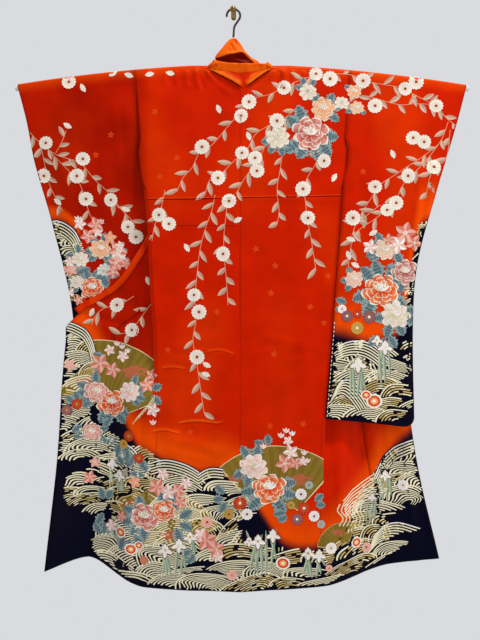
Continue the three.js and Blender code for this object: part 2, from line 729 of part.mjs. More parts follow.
// A ring of round wire through a closed run of points.
function closedRing(points, radius, sides) {
  const curve = new THREE.CatmullRomCurve3(points, true);
  return new THREE.TubeGeometry(curve, points.length, radius, sides, true);
}

// ---- wall hook ----
const plateWidth = 16;
const plateHeight = 38;
const plateThick = 3;

function plate() {
  const shape = new THREE.Shape();
  const half = plateWidth / 2;
  const straight = plateHeight / 2 - half;
  shape.absarc(0, straight, half, 0, Math.PI);
  shape.absarc(0, -straight, half, Math.PI, 2 * Math.PI);
  const geometry = new THREE.ExtrudeGeometry(shape, { depth: plateThick, bevelEnabled: false, curveSegments: 10 });
  geometry.rotateX(Math.PI / 2);
  return piece('wall_plate', geometry, brass, 0.3, 1);
}

function wallHook() {
  const armTop = loopCentreZ + loopRadius - hookWire - seamGap;
  const points = [
    new THREE.Vector3(0, -plateThick - seamGap, -14),
    new THREE.Vector3(0, -14, -14),
    new THREE.Vector3(0, -30, -17.5),
    new THREE.Vector3(0, -rodDepth, armTop - 3.6),
    new THREE.Vector3(0, -54, -14),
    new THREE.Vector3(0, -61, -16),
  ];
  return piece('wall_hook', bar(points, 3.4, 16, 8), brass, 0.3, 1);
}

const garment = new THREE.Group();
garment.position.x = garmentShift;
garment.add(...bodyAndOkumi(leftHalf, 'body_left', 'okumi_left'));
garment.add(...bodyAndOkumi(rightHalf, 'body_right', 'okumi_right'));
garment.add(sleeve(leftHalf, 'sleeve_left'));
garment.add(sleeve(rightHalf, 'sleeve_right'));
garment.add(collar());
garment.add(collarPeak());
garment.add(arm('hanger_arm_left', stemX - 13.3, -686));
garment.add(arm('hanger_arm_right', stemX + 13.3, 698));
garment.add(hub());
garment.add(hook());
garment.add(hangingLoop());

const part = new THREE.Group();
part.add(garment);
part.add(plate());
part.add(wallHook());

export default part;
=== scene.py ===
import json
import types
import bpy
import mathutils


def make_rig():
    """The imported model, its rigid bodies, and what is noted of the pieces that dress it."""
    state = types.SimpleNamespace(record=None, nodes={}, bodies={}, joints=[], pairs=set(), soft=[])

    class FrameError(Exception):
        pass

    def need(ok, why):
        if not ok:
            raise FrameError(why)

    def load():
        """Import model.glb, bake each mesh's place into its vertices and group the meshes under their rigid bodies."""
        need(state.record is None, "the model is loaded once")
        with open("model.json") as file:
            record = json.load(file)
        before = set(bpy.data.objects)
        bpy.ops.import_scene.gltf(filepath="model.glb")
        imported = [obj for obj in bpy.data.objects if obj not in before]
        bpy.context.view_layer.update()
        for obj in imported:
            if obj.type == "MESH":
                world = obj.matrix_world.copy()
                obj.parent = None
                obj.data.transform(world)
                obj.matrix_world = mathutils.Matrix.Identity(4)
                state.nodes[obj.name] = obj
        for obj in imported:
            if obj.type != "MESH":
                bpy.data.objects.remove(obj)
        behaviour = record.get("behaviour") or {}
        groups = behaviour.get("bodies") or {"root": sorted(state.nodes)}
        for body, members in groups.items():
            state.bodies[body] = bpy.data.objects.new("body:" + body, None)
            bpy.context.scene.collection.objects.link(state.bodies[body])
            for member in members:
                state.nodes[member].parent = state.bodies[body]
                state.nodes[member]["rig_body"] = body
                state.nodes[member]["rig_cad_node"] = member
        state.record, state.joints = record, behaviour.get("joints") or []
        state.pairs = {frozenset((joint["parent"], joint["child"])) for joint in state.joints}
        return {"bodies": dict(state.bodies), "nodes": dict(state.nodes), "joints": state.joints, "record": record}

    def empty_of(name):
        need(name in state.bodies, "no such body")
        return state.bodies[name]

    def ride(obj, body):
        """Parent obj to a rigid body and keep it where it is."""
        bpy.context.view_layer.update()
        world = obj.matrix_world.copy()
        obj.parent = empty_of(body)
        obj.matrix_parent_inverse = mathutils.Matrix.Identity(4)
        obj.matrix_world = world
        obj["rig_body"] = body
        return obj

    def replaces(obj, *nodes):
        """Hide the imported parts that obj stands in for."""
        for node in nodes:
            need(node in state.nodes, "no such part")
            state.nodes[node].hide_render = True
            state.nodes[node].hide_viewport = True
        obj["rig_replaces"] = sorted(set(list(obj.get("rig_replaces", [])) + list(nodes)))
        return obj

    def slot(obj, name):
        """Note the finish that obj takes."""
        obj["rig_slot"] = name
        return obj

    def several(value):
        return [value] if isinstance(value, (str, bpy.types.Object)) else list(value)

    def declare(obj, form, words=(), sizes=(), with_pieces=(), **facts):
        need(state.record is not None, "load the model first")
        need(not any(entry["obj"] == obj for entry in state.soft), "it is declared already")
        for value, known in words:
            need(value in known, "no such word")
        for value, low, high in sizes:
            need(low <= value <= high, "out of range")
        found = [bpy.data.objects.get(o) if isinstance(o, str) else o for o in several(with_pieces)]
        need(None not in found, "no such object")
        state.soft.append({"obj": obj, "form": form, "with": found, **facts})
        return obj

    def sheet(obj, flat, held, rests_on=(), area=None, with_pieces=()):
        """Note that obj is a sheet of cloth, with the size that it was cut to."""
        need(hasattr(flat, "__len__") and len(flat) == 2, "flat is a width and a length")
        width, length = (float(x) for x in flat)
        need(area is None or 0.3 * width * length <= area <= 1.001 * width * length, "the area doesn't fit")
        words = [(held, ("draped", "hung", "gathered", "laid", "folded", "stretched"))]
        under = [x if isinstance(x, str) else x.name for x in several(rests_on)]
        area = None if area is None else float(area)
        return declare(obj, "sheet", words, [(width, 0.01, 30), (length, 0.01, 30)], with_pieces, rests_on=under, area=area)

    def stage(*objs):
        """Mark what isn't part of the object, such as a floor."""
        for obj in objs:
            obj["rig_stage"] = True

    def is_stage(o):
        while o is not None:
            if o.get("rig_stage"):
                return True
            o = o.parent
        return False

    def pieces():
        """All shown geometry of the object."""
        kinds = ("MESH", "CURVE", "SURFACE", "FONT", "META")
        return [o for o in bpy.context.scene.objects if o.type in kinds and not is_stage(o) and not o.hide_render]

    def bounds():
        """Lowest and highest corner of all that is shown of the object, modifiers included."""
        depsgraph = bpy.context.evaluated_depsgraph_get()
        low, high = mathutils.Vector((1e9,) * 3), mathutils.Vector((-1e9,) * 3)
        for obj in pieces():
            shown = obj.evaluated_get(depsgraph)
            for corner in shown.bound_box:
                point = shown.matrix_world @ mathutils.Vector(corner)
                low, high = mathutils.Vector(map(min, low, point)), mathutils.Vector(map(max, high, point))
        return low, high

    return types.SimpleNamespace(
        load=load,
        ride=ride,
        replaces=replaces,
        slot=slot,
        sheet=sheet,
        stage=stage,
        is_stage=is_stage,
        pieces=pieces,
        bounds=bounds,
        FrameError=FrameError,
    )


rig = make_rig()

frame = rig.load()

import json
import math
import random

import bmesh
import bpy
from mathutils import Vector, noise
from mathutils.bvhtree import BVHTree

# A furisode on a kimono hanger. Tables are in millimetres: x runs outwards from the centre seam,
# depth is the distance off the wall, and down runs from 0 at the shoulder fold to 1 at the hem.
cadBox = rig.bounds()
mm = 0.001

# The main view: places on the print are given across and down in its 480 by 640 frame.
view = {
    "eye": (0.020, -1.8, -0.958),
    "width": 480,
    "height": 640,
    "focal": 574,
    "sensor": 36,
}
eye = Vector(view["eye"])


def table(names, *rows):
    return [dict(zip(names.split(), row)) for row in rows]


def lerp(a, b, t):
    return a + (b - a) * t


def clamp(value, low=0.0, high=1.0):
    return max(low, min(high, value))


def smoothstep(value, low, high):
    t = clamp((value - low) / (high - low))
    return t * t * (3 - 2 * t)


# A smooth curve through a column of a table, read at a value of its key column.
def read(rows, key, column, at):
    last = len(rows) - 1
    if at <= rows[0][key]:
        return rows[0][column]
    if at >= rows[last][key]:
        return rows[last][column]
    i = 0
    while rows[i + 1][key] < at:
        i += 1

    def slope(a, b):
        return (rows[b][column] - rows[a][column]) / (rows[b][key] - rows[a][key])

    span = rows[i + 1][key] - rows[i][key]
    t = (at - rows[i][key]) / span
    startSlope = slope(max(i - 1, 0), i + 1) * span
    endSlope = slope(i, min(i + 2, last)) * span
    rise = rows[i + 1][column] - rows[i][column]
    ease = rise * t * t * (3 - 2 * t)
    return rows[i][column] + ease + startSlope * t * (1 - t) ** 2 - endSlope * t * t * (1 - t)


def srgb(red, green, blue, alpha=1.0):
    def linear(value):
        part = value / 255
        return part / 12.92 if part <= 0.04045 else ((part + 0.055) / 1.055) ** 2.4

    return (linear(red), linear(green), linear(blue), alpha)


def mixed(a, b, t):
    return tuple(lerp(a[k], b[k], t) for k in range(4))


# ---- cloth ----
cloth = {
    "wall": 2,
    "seamGap": 0.3,
    "length": 1600,
    "shoulderTop": -181,
    "shift": 20,
    "rodDepth": 45,
    "rodRadius": 8,
    "hangSlope": 10,
    "rowStep": 8,
}
clothOnRod = cloth["rodRadius"] + 0.9 + cloth["wall"] / 2
sideTurn = clothOnRod
curlRadius = 5
neckHalfWidth = 98
neckDrop = 14
armholeEnd = 230 / cloth["length"]
sideSeamStart = 360 / cloth["length"]
okumiTop = 0.17
collarReach = 20
collarFoldRadius = 3
cuffOpening = 230

leftHalf = {
    "sign": -1,
    "outline": table(
        "down edge fold reach",
        (0, 327, 98, 98), (0.09, 315, 98, 120), (0.14, 309, 99, 170), (0.31, 281, 104, 279),
        (0.37, 278, 128, 333), (0.425, 274, 165, 391), (0.466, 270, 202, 465), (0.5, 266, 238, 530),
        (0.55, 262, 270, 539), (0.64, 259, 270, 549), (0.8, 268, 270, 557), (1, 286, 290, 575),
    ),
    "unfold": (0.53, 0.66),
    "swing": table(
        "down valley valleyDepth edgeDepth",
        (0, 300, 30, 30), (0.31, 320, 27, 27), (0.5, 400, 24, 22), (0.75, 440, 15, 48), (1, 469, 6, 113),
    ),
    "hem": table("x z", (0, -1781), (286, -1766), (380, -1736), (469, -1697), (575, -1698)),
    "sleeve": table(
        "fall outer outerDepth innerDepth",
        (0, 676, 54.5, 35.5), (110, 650, 50, 30), (230, 631, 38, 22), (410, 586, 20, 10),
        (700, 524, 8.6, 3.6), (1058, 505, 8.6, 3.6),
    ),
    "lap": (-14, -14),
}
rightHalf = {
    "sign": 1,
    "outline": table(
        "down edge fold reach",
        (0, 339, 98, 98), (0.09, 331, 98, 120), (0.14, 325, 99, 170), (0.31, 306, 106, 290),
        (0.425, 292, 165, 410), (0.5, 284, 240, 500), (0.55, 278, 290, 510), (0.7, 259, 290, 527),
        (0.826, 255, 290, 556), (1, 251, 290, 614),
    ),
    "unfold": (0.68, 0.8),
    "swing": table(
        "down valley valleyDepth edgeDepth",
        (0, 300, 29, 29), (0.31, 320, 26, 26), (0.5, 400, 22, 18), (0.7, 415, 20, 22), (1, 462, 13, 30),
    ),
    "hem": table("x z", (0, -1781), (251, -1763), (350, -1742), (462, -1717), (614, -1693)),
    "sleeve": table(
        "fall outer outerDepth innerDepth",
        (0, 688, 54.5, 35.5), (110, 660, 55, 37), (225, 627, 57.5, 40), (320, 599, 60, 42),
        (560, 537, 62, 45), (750, 523, 63.5, 47), (1058, 527, 65.5, 50),
    ),
    "lap": (-4, 2.6),
}

# Soft ridges, or troughs where the height is below zero, from one end to the other.
creaseNames = "x0 down0 x1 down1 width height"
backCreases = table(
    creaseNames,
    (-4, 45, 96, 2, 9, 5), (30, 62, 110, 12, 8, -3), (120, 6, 150, 70, 8, 3), (150, 4, 190, 60, 9, -3),
    (0, 402, 300, 406, 7, 2.5), (60, 820, 250, 870, 16, 3), (40, 1180, 250, 1120, 16, 3.5),
    (190, 700, 215, 1500, 26, 4), (100, 900, 90, 1590, 30, -4),
)
leftFrontCreases = table(
    creaseNames,
    (300, 560, 372, 690, 14, 9), (296, 660, 330, 900, 12, 7), (400, 700, 510, 765, 12, 6),
    (350, 800, 520, 790, 12, -4), (330, 1000, 345, 1590, 22, 7), (395, 1050, 400, 1560, 18, -5),
)
rightFrontCreases = table(
    creaseNames,
    (310, 1050, 325, 1560, 20, 8), (362, 1040, 385, 1590, 18, -6), (410, 1060, 432, 1520, 17, 6),
    (492, 1080, 540, 1590, 20, 5),
)
leftSleeveCreases = table(
    creaseNames,
    (380, 40, 360, 420, 22, 4), (450, 60, 430, 600, 24, -3), (560, 80, 500, 640, 20, 3),
    (620, 150, 560, 520, 14, -2),
)
rightSleeveCreases = table(
    creaseNames,
    (588, 250, 556, 560, 10, 6), (566, 300, 530, 640, 9, -5), (545, 320, 508, 900, 11, 5),
    (420, 60, 400, 520, 24, 3), (350, 200, 330, 900, 18, 4),
)


def creaseLift(creases, x, fall, deepTop=75):
    lift = 0
    for crease in creases:
        runX = crease["x1"] - crease["x0"]
        runDown = crease["down1"] - crease["down0"]
        length = math.hypot(runX, runDown)
        fromX, fromDown = x - crease["x0"], fall - crease["down0"]
        along = (fromX * runX + fromDown * runDown) / length ** 2
        aside = (fromX * runDown - fromDown * runX) / length
        if abs(aside) > 3 * crease["width"]:
            continue
        fade = smoothstep(along, -0.15, 0.2) * (1 - smoothstep(along, 0.8, 1.15))
        lift += crease["height"] * fade * math.exp(-((aside / crease["width"]) ** 2))
    return lift if lift > 0 else lift * smoothstep(fall, deepTop, deepTop + 35)


def shoulderZ(x):
    out = max(0, abs(x) - 150)
    return cloth["shoulderTop"] - 0.055 * out - 0.0001 * out ** 2


def rodZ(x):
    return shoulderZ(x) - clothOnRod - cloth["wall"] / 2


shoulderRows = [0, 0.012, 0.03, 0.055, 0.09]
frontDowns = shoulderRows + [lerp(0.13, 1, i / 24) for i in range(25)]
collarRows = len(shoulderRows) + 11
collarEnd = frontDowns[collarRows - 1]


# Heights of rows between the given ones, no further apart than the row step.
def refined(downs, step=cloth["rowStep"]):
    fine = [downs[0]]
    for a, b in zip(downs, downs[1:]):
        count = max(1, math.ceil(abs(b - a) * cloth["length"] / step))
        fine += [lerp(a, b, i / count) for i in range(1, count + 1)]
    return fine


def backDepth(down):
    return cloth["rodDepth"] + clothOnRod + cloth["hangSlope"] * down


def place(half, x, depth, z):
    return Vector(((cloth["shift"] + half["sign"] * x) * mm, -depth * mm, z * mm))


def hangZ(half, x, down):
    top = rodZ(min(x, half["outline"][0]["edge"]))
    return lerp(top, read(half["hem"], "x", "z", x), down)


# The cross-section of a front at one height, walked from the side seam to the free edge.
def frontSection(half, down):
    edge, fold, reach = (read(half["outline"], "down", name, down) for name in ("edge", "fold", "reach"))
    turn = math.pi * (1 - smoothstep(down, *half["unfold"]))
    start = math.pi * (1 - smoothstep(down, armholeEnd + 0.02, sideSeamStart))
    curl = min(turn, math.pi * smoothstep(down, 0.004, 0.09))
    centreX, centreDepth = edge - sideTurn, backDepth(down) - sideTurn
    points = []
    for i in range(9):
        heading = lerp(min(start, turn), turn, i / 8)
        points.append({
            "x": centreX + sideTurn * math.sin(heading),
            "depth": centreDepth + sideTurn * math.cos(heading),
        })
    tip = points[-1]
    inward = max(0, tip["x"] - fold) * smoothstep(turn, 3, math.pi)
    if inward > 1:
        points += [{"x": tip["x"] - inward * i / 8, "depth": tip["depth"]} for i in range(1, 9)]
    tip = points[-1]
    if curl > 0.01:
        for i in range(1, 9):
            heading = turn - curl * i / 8
            points.append({
                "x": tip["x"] + curlRadius * (math.sin(turn) - math.sin(heading)),
                "depth": tip["depth"] + curlRadius * (math.cos(turn) - math.cos(heading)),
            })
    tip = points[-1]
    bandShare = 1 - smoothstep(down, collarEnd + 0.004, collarEnd + 0.03)
    curled = smoothstep(curl / turn, 0.95, 1) if turn > 0.01 else 1
    outward = (reach - collarReach * bandShare - tip["x"]) * curled
    hidden = max(tip["x"], edge + 4)
    valley, valleyDepth, edgeDepth = (
        read(half["swing"], "down", name, down) for name in ("valley", "valleyDepth", "edgeDepth"))
    if outward > 1:
        for i in range(1, 27):
            x = tip["x"] + outward * i / 26
            toValley = smoothstep(x, hidden, valley)
            toEdge = clamp((x - valley) / max(1, reach - valley))
            swung = lerp(valleyDepth, edgeDepth, toEdge ** 1.3)
            depth = swung if x > valley else lerp(tip["depth"], valleyDepth, toValley)
            points.append({"x": x, "depth": depth, "shown": smoothstep(x, edge, edge + 60)})
    return measure(points)


# Adds to each point the cloth's length so far, and a count that also grows with each bend.
def measure(points):
    length = count = 0
    lastHeading = None
    for i, point in enumerate(points):
        point.setdefault("shown", 0)
        if i:
            before = points[i - 1]
            stepX, stepDepth = point["x"] - before["x"], point["depth"] - before["depth"]
            heading = math.atan2(stepDepth, stepX)
            turned = 0 if lastHeading is None else heading - lastHeading
            bend = abs(math.atan2(math.sin(turned), math.cos(turned)))
            length += math.hypot(stepX, stepDepth)
            count += math.hypot(stepX, stepDepth) + 40 * bend
            lastHeading = heading
        point["length"], point["count"] = length, count
    return points


def between(points, key, at):
    i = 1
    while i < len(points) - 1 and points[i][key] < at:
        i += 1
    span = points[i][key] - points[i - 1][key]
    t = clamp((at - points[i - 1][key]) / span) if span > 0 else 1
    return {name: lerp(points[i - 1][name], points[i][name], t) for name in ("x", "depth", "count", "shown")}


def spread(section, start, end, columns):
    first = between(section, "length", start)["count"]
    last = between(section, "length", end)["count"]
    return [between(section, "count", lerp(first, last, i / columns)) for i in range(columns + 1)]


def curlGap(down):
    return 0.8 * (1 - smoothstep(down, 0.1, 0.16))


def okumiWidth(down):
    return lerp(6, 150, smoothstep(down, okumiTop, 0.5))


# ---- colour: vermilion dyed to shade off through orange into near-black navy, with painted shade and highlights ----
dyesAndPaintedLight = {
    "vermilion": srgb(197, 27, 0),
    # The next colour is painted shade: a darker ground for the left sleeve and left front.
    "shadedVermilion": srgb(160, 14, 0),
    # The next colour is the orange of the dyed band above the navy, and also that of the painted highlights.
    "bright": srgb(232, 72, 2),
    "navy": srgb(1, 6, 27),
    "cream": srgb(236, 226, 206),
    "collar": srgb(240, 98, 12),
    # The next two colours are painted shade in hollows and under fold lips, and a painted highlight on the lips.
    "shade": srgb(104, 6, 1),
    "lip": srgb(250, 122, 24),
    "glowAbove": 46,
    "sleeveGlow": 15,
    "edgeSoftness": 7,
    # The next value darkens the colour along each panel's side edges: painted shade at the seams.
    "seamShade": 0.68,
    # The next value is painted sheen, in uneven paler patches.
    "paintedSheen": 0.22,
    # The next value is a painted highlight where the cloth runs over the hanger's rod.
    "rodHighlight": 0.6,
}
bodyDye = table(
    "across down",
    (44, 318), (66, 322), (84, 331), (96, 352), (118, 405), (136, 441), (152, 452), (167, 461),
    (199, 471), (219, 467), (238, 478), (252, 495), (262, 513), (285, 539), (325, 544), (345, 525),
    (362, 500), (376, 470), (395, 443), (412, 430), (440, 424),
)
leftSleeveDye = table("across down", (40, 219), (62, 221), (72, 228), (79, 240), (84, 300), (90, 335), (160, 340))
rightSleeveDye = table(
    "across down",
    (325, 329), (353, 334), (375, 339), (398, 332), (404, 318), (408, 290), (412, 262), (416, 240), (421, 222), (440, 216),
)


def framePlace(point):
    away = point.y - eye.y
    across = view["width"] / 2 + view["focal"] * (point.x - eye.x) / away
    down = view["height"] / 2 - view["focal"] * (point.z - eye.z) / away
    return across, down


# Colour of the dyed cloth at a point in the main view, with painted shade and highlights mixed in.
def dyeAndPaintedLightAt(edgeTable, point):
    across, down = framePlace(point)
    wander = 5 * noise.noise(Vector((point.x * 9, 0, point.z * 9)))
    past = down + wander - read(edgeTable, "across", "down", across)
    leftSleeve = edgeTable is leftSleeveDye
    glow = smoothstep(past, -dyesAndPaintedLight["sleeveGlow"] if leftSleeve else -dyesAndPaintedLight["glowAbove"], -8)
    deep = smoothstep(past, -dyesAndPaintedLight["edgeSoftness"], dyesAndPaintedLight["edgeSoftness"])
    # Painted shade: the left sleeve and the left front take a darker vermilion ground.
    shaded = 1 if leftSleeve else 1 - smoothstep(across, 140, 152)
    ground = mixed(dyesAndPaintedLight["vermilion"], dyesAndPaintedLight["shadedVermilion"], shaded * (1 - 0.5 * smoothstep(wander, -2, 2)))
    # Painted sheen: uneven paler patches, mixed towards the bright orange.
    paintedSheen = smoothstep(noise.noise(Vector((point.x * 5, 4, point.z * 3))), -0.1, 0.5)
    # Painted highlight: the cloth is paler where it runs over the hanger's rod.
    rodHighlight = 1 - smoothstep(shoulderZ(point.x / mm - cloth["shift"]) - point.z / mm, 2, 42)
    paintedHighlight = clamp(dyesAndPaintedLight["paintedSheen"] * paintedSheen * (1 - 0.6 * shaded) + dyesAndPaintedLight["rodHighlight"] * rodHighlight)
    ground = mixed(ground, dyesAndPaintedLight["bright"], paintedHighlight)
    return mixed(mixed(ground, dyesAndPaintedLight["bright"], glow), dyesAndPaintedLight["navy"], deep)


# ---- materials ----
def addNode(made, kind, links=(), **settings):
    tree = made.node_tree
    new = tree.nodes.new(kind)
    for name, value in settings.items():
        setattr(new, name, value)
    for socket, source in links:
        if isinstance(source, bpy.types.NodeSocket):
            tree.links.new(source, new.inputs[socket])
        else:
            new.inputs[socket].default_value = source
    return new


def newMaterial(name, **sockets):
    made = bpy.data.materials.new(name)
    made.use_nodes = True
    shader = made.node_tree.nodes["Principled BSDF"]
    for socket, value in sockets.items():
        shader.inputs[socket.replace("_", " ")].default_value = value
    return made, shader


silk = {
    "threadsPerMetre": 1400,
    "weaveHeight": 0.00006,
    "unevenHeight": 0.0007,
    "unevenScale": 26,
    "tintChange": 0.09,
}


# Silk crepe: colour from an attribute, a fine weave and soft unevenness in its bump.
def silkMaterial(name, attribute, roughness, specular):
    made, shader = newMaterial(
        name, Roughness=roughness, Sheen_Weight=0.02, Sheen_Roughness=0.4, Sheen_Tint=(1, 0.3, 0.08, 1),
        Specular_IOR_Level=specular, Specular_Tint=(1, 0.5, 0.2, 1))
    links = made.node_tree.links
    colour = addNode(made, "ShaderNodeAttribute", attribute_name=attribute)
    spot = addNode(made, "ShaderNodeTexCoord")
    threads = addNode(made, "ShaderNodeUVMap", uv_map="weave")
    blotch = addNode(
        made, "ShaderNodeTexNoise",
        [("Vector", spot.outputs["Object"]), ("Scale", 14.0), ("Detail", 3.0)])
    change = addNode(
        made, "ShaderNodeMapRange",
        [("Value", blotch.outputs["Fac"]), ("From Min", 0.3), ("From Max", 0.7),
         ("To Min", 1 - silk["tintChange"]), ("To Max", 1 + silk["tintChange"])])
    tinted = addNode(
        made, "ShaderNodeVectorMath",
        [(0, colour.outputs["Color"]), (1, change.outputs["Result"])], operation="MULTIPLY")
    links.new(tinted.outputs["Vector"], shader.inputs["Base Color"])
    metal = addNode(made, "ShaderNodeMath", [(0, 1.0), (1, colour.outputs["Alpha"])], operation="SUBTRACT")
    links.new(metal.outputs["Value"], shader.inputs["Metallic"])
    weaves = [
        addNode(
            made, "ShaderNodeTexWave",
            [("Vector", threads.outputs["UV"]), ("Scale", silk["threadsPerMetre"] / 20),
             ("Distortion", 0.6), ("Detail", 1.0)],
            wave_type="BANDS", bands_direction=direction)
        for direction in ("X", "Y")
    ]
    crossed = addNode(
        made, "ShaderNodeMath",
        [(0, weaves[0].outputs["Fac"]), (1, weaves[1].outputs["Fac"])], operation="MAXIMUM")
    fine = addNode(
        made, "ShaderNodeBump",
        [("Height", crossed.outputs["Value"]), ("Strength", 0.5), ("Distance", silk["weaveHeight"])])
    uneven = addNode(
        made, "ShaderNodeTexNoise",
        [("Vector", spot.outputs["Object"]), ("Scale", silk["unevenScale"]), ("Detail", 2.0)])
    soft = addNode(
        made, "ShaderNodeBump",
        [("Height", uneven.outputs["Fac"]), ("Strength", 0.6), ("Distance", silk["unevenHeight"]),
         ("Normal", fine.outputs["Normal"])])
    links.new(soft.outputs["Normal"], shader.inputs["Normal"])
    return made


# The colour attribute of the cloth carries the dye together with painted shade and highlights.
clothMaterial = silkMaterial("dyedSilkWithPaintedLight", "dyeAndPaintedLight", 0.42, 0.05)
liningMaterial = silkMaterial("liningSilk", "lining", 0.5, 0.1)

# ---- building cloth ----
panels = {}
treePoints, treeFaces, treePanels = [], [], []


# One sheet of cloth through rows of points, with its print side where outward points.
def clothSheet(name, rows, outward, dyeTable, shown=True, plainDye=None, lining=None, colourOf=None):
    lines, columns = len(rows) - 1, len(rows[0]) - 1
    bm = bmesh.new()
    bm.loops.layers.uv.new("weave")
    bmesh.ops.create_grid(bm, x_segments=columns, y_segments=lines, size=0.5)
    weave = bm.loops.layers.uv["weave"]
    colourLayer = bm.verts.layers.float_color.new("dyeAndPaintedLight")
    liningLayer = bm.verts.layers.float_color.new("lining")
    spots = {}
    for vert in bm.verts:
        i, j = round((vert.co.y + 0.5) * lines), round((vert.co.x + 0.5) * columns)
        spots[vert] = (i, j)
        vert.co = rows[i][j]
        tone = colourOf(vert.co) if colourOf else plainDye or dyeAndPaintedLightAt(dyeTable, vert.co)
        # Painted shade at the seams: the colour darkens within a couple of columns of each side edge.
        byEdge = 1 if plainDye or not dyeTable else smoothstep(min(j, columns - j), 0.5, 2.2)
        vert[colourLayer] = [part * lerp(dyesAndPaintedLight["seamShade"], 1, byEdge) for part in tone[:3]] + [1]
        low = smoothstep(-vert.co.z, 1.05, 1.2)
        vert[liningLayer] = lining or mixed(dyesAndPaintedLight["cream"], dyesAndPaintedLight["vermilion"], low)
    along = [0]
    for i in range(lines):
        along.append(along[-1] + (rows[i + 1][columns // 2] - rows[i][columns // 2]).length)
    width = sum((rows[lines // 2][j + 1] - rows[lines // 2][j]).length for j in range(columns))
    for face in bm.faces:
        face.smooth = True
        for loop in face.loops:
            i, j = spots[loop.vert]
            loop[weave].uv = (width * j / columns, along[i])
    bm.normal_update()
    middle = max(bm.faces, key=lambda face: abs(face.normal.dot(outward)))
    if middle.normal.dot(outward) < 0:
        bmesh.ops.reverse_faces(bm, faces=bm.faces[:])
    if shown:
        first = len(treePoints)
        bm.verts.index_update()
        treePoints.extend(vert.co.copy() for vert in bm.verts)
        for face in bm.faces:
            treeFaces.append([first + vert.index for vert in face.verts])
            treePanels.append(name)
    mesh = bpy.data.meshes.new(name)
    bm.to_mesh(mesh)
    bm.free()
    mesh.materials.append(clothMaterial)
    mesh.materials.append(liningMaterial)
    made = bpy.data.objects.new(name, mesh)
    bpy.context.collection.objects.link(made)
    wall = made.modifiers.new("wall", "SOLIDIFY")
    wall.thickness = cloth["wall"] * mm
    wall.offset = 0
    wall.material_offset = 1
    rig.ride(made, "root")
    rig.slot(made, "silk")
    panels[name] = made
    return made


# ---- body and overlap ----
body = {
    "columns": 78,
    "okumiColumns": 22,
    "neckRows": 26,
    "underNeckRows": 13,
    "turnRows": 12,
    "neckRowDown": 0.045,
    "tremble": 0.9,
    "seamDip": 1.1,
    "seamAllowance": 5,
}


# Small unevenness of hanging silk, as a lift off the smooth cloth.
def tremble(x, fall, seed):
    broad = noise.noise(Vector((x / 95, fall / 260, seed)))
    small = noise.noise(Vector((x / 34, fall / 80, seed + 7)))
    return body["tremble"] * (1.6 * broad + 0.5 * small)


# Folds by the neck, where down is the fall in millimetres below the shoulder's top.
neckCreases = table(
    creaseNames,
    (112, 8, 72, 60, 5, 3), (124, 6, 110, 76, 6, -3.4), (136, 4, 130, 70, 6, 4.2), (148, 4, 150, 60, 5, -2.4),
    (160, 3, 162, 70, 6, 3.6), (176, 2, 178, 56, 5, -2.6), (192, 4, 196, 60, 6, 3.6), (206, 6, 214, 60, 5, -2.2),
    (224, 4, 232, 66, 6, 2.6), (20, 96, 70, 62, 6, 2.4), (58, 22, 52, 44, 4, 1.6),
    (36, 26, 32, 52, 4, 1.6), (14, 28, 10, 60, 4, 1.4),
)
# Adds a narrow strip at each end of a row: a seam allowance that tucks under the next piece.
def tucked(points, first, last):
    ends = []
    for end, inner, reach in ((points[0], points[1], first), (points[-1], points[-2], last)):
        strip = end + (end - inner).normalized() * reach * mm
        if reach > 1:
            strip.y += 2.3 * mm
        ends.append(strip)
    return [ends[0], *points, ends[1]]


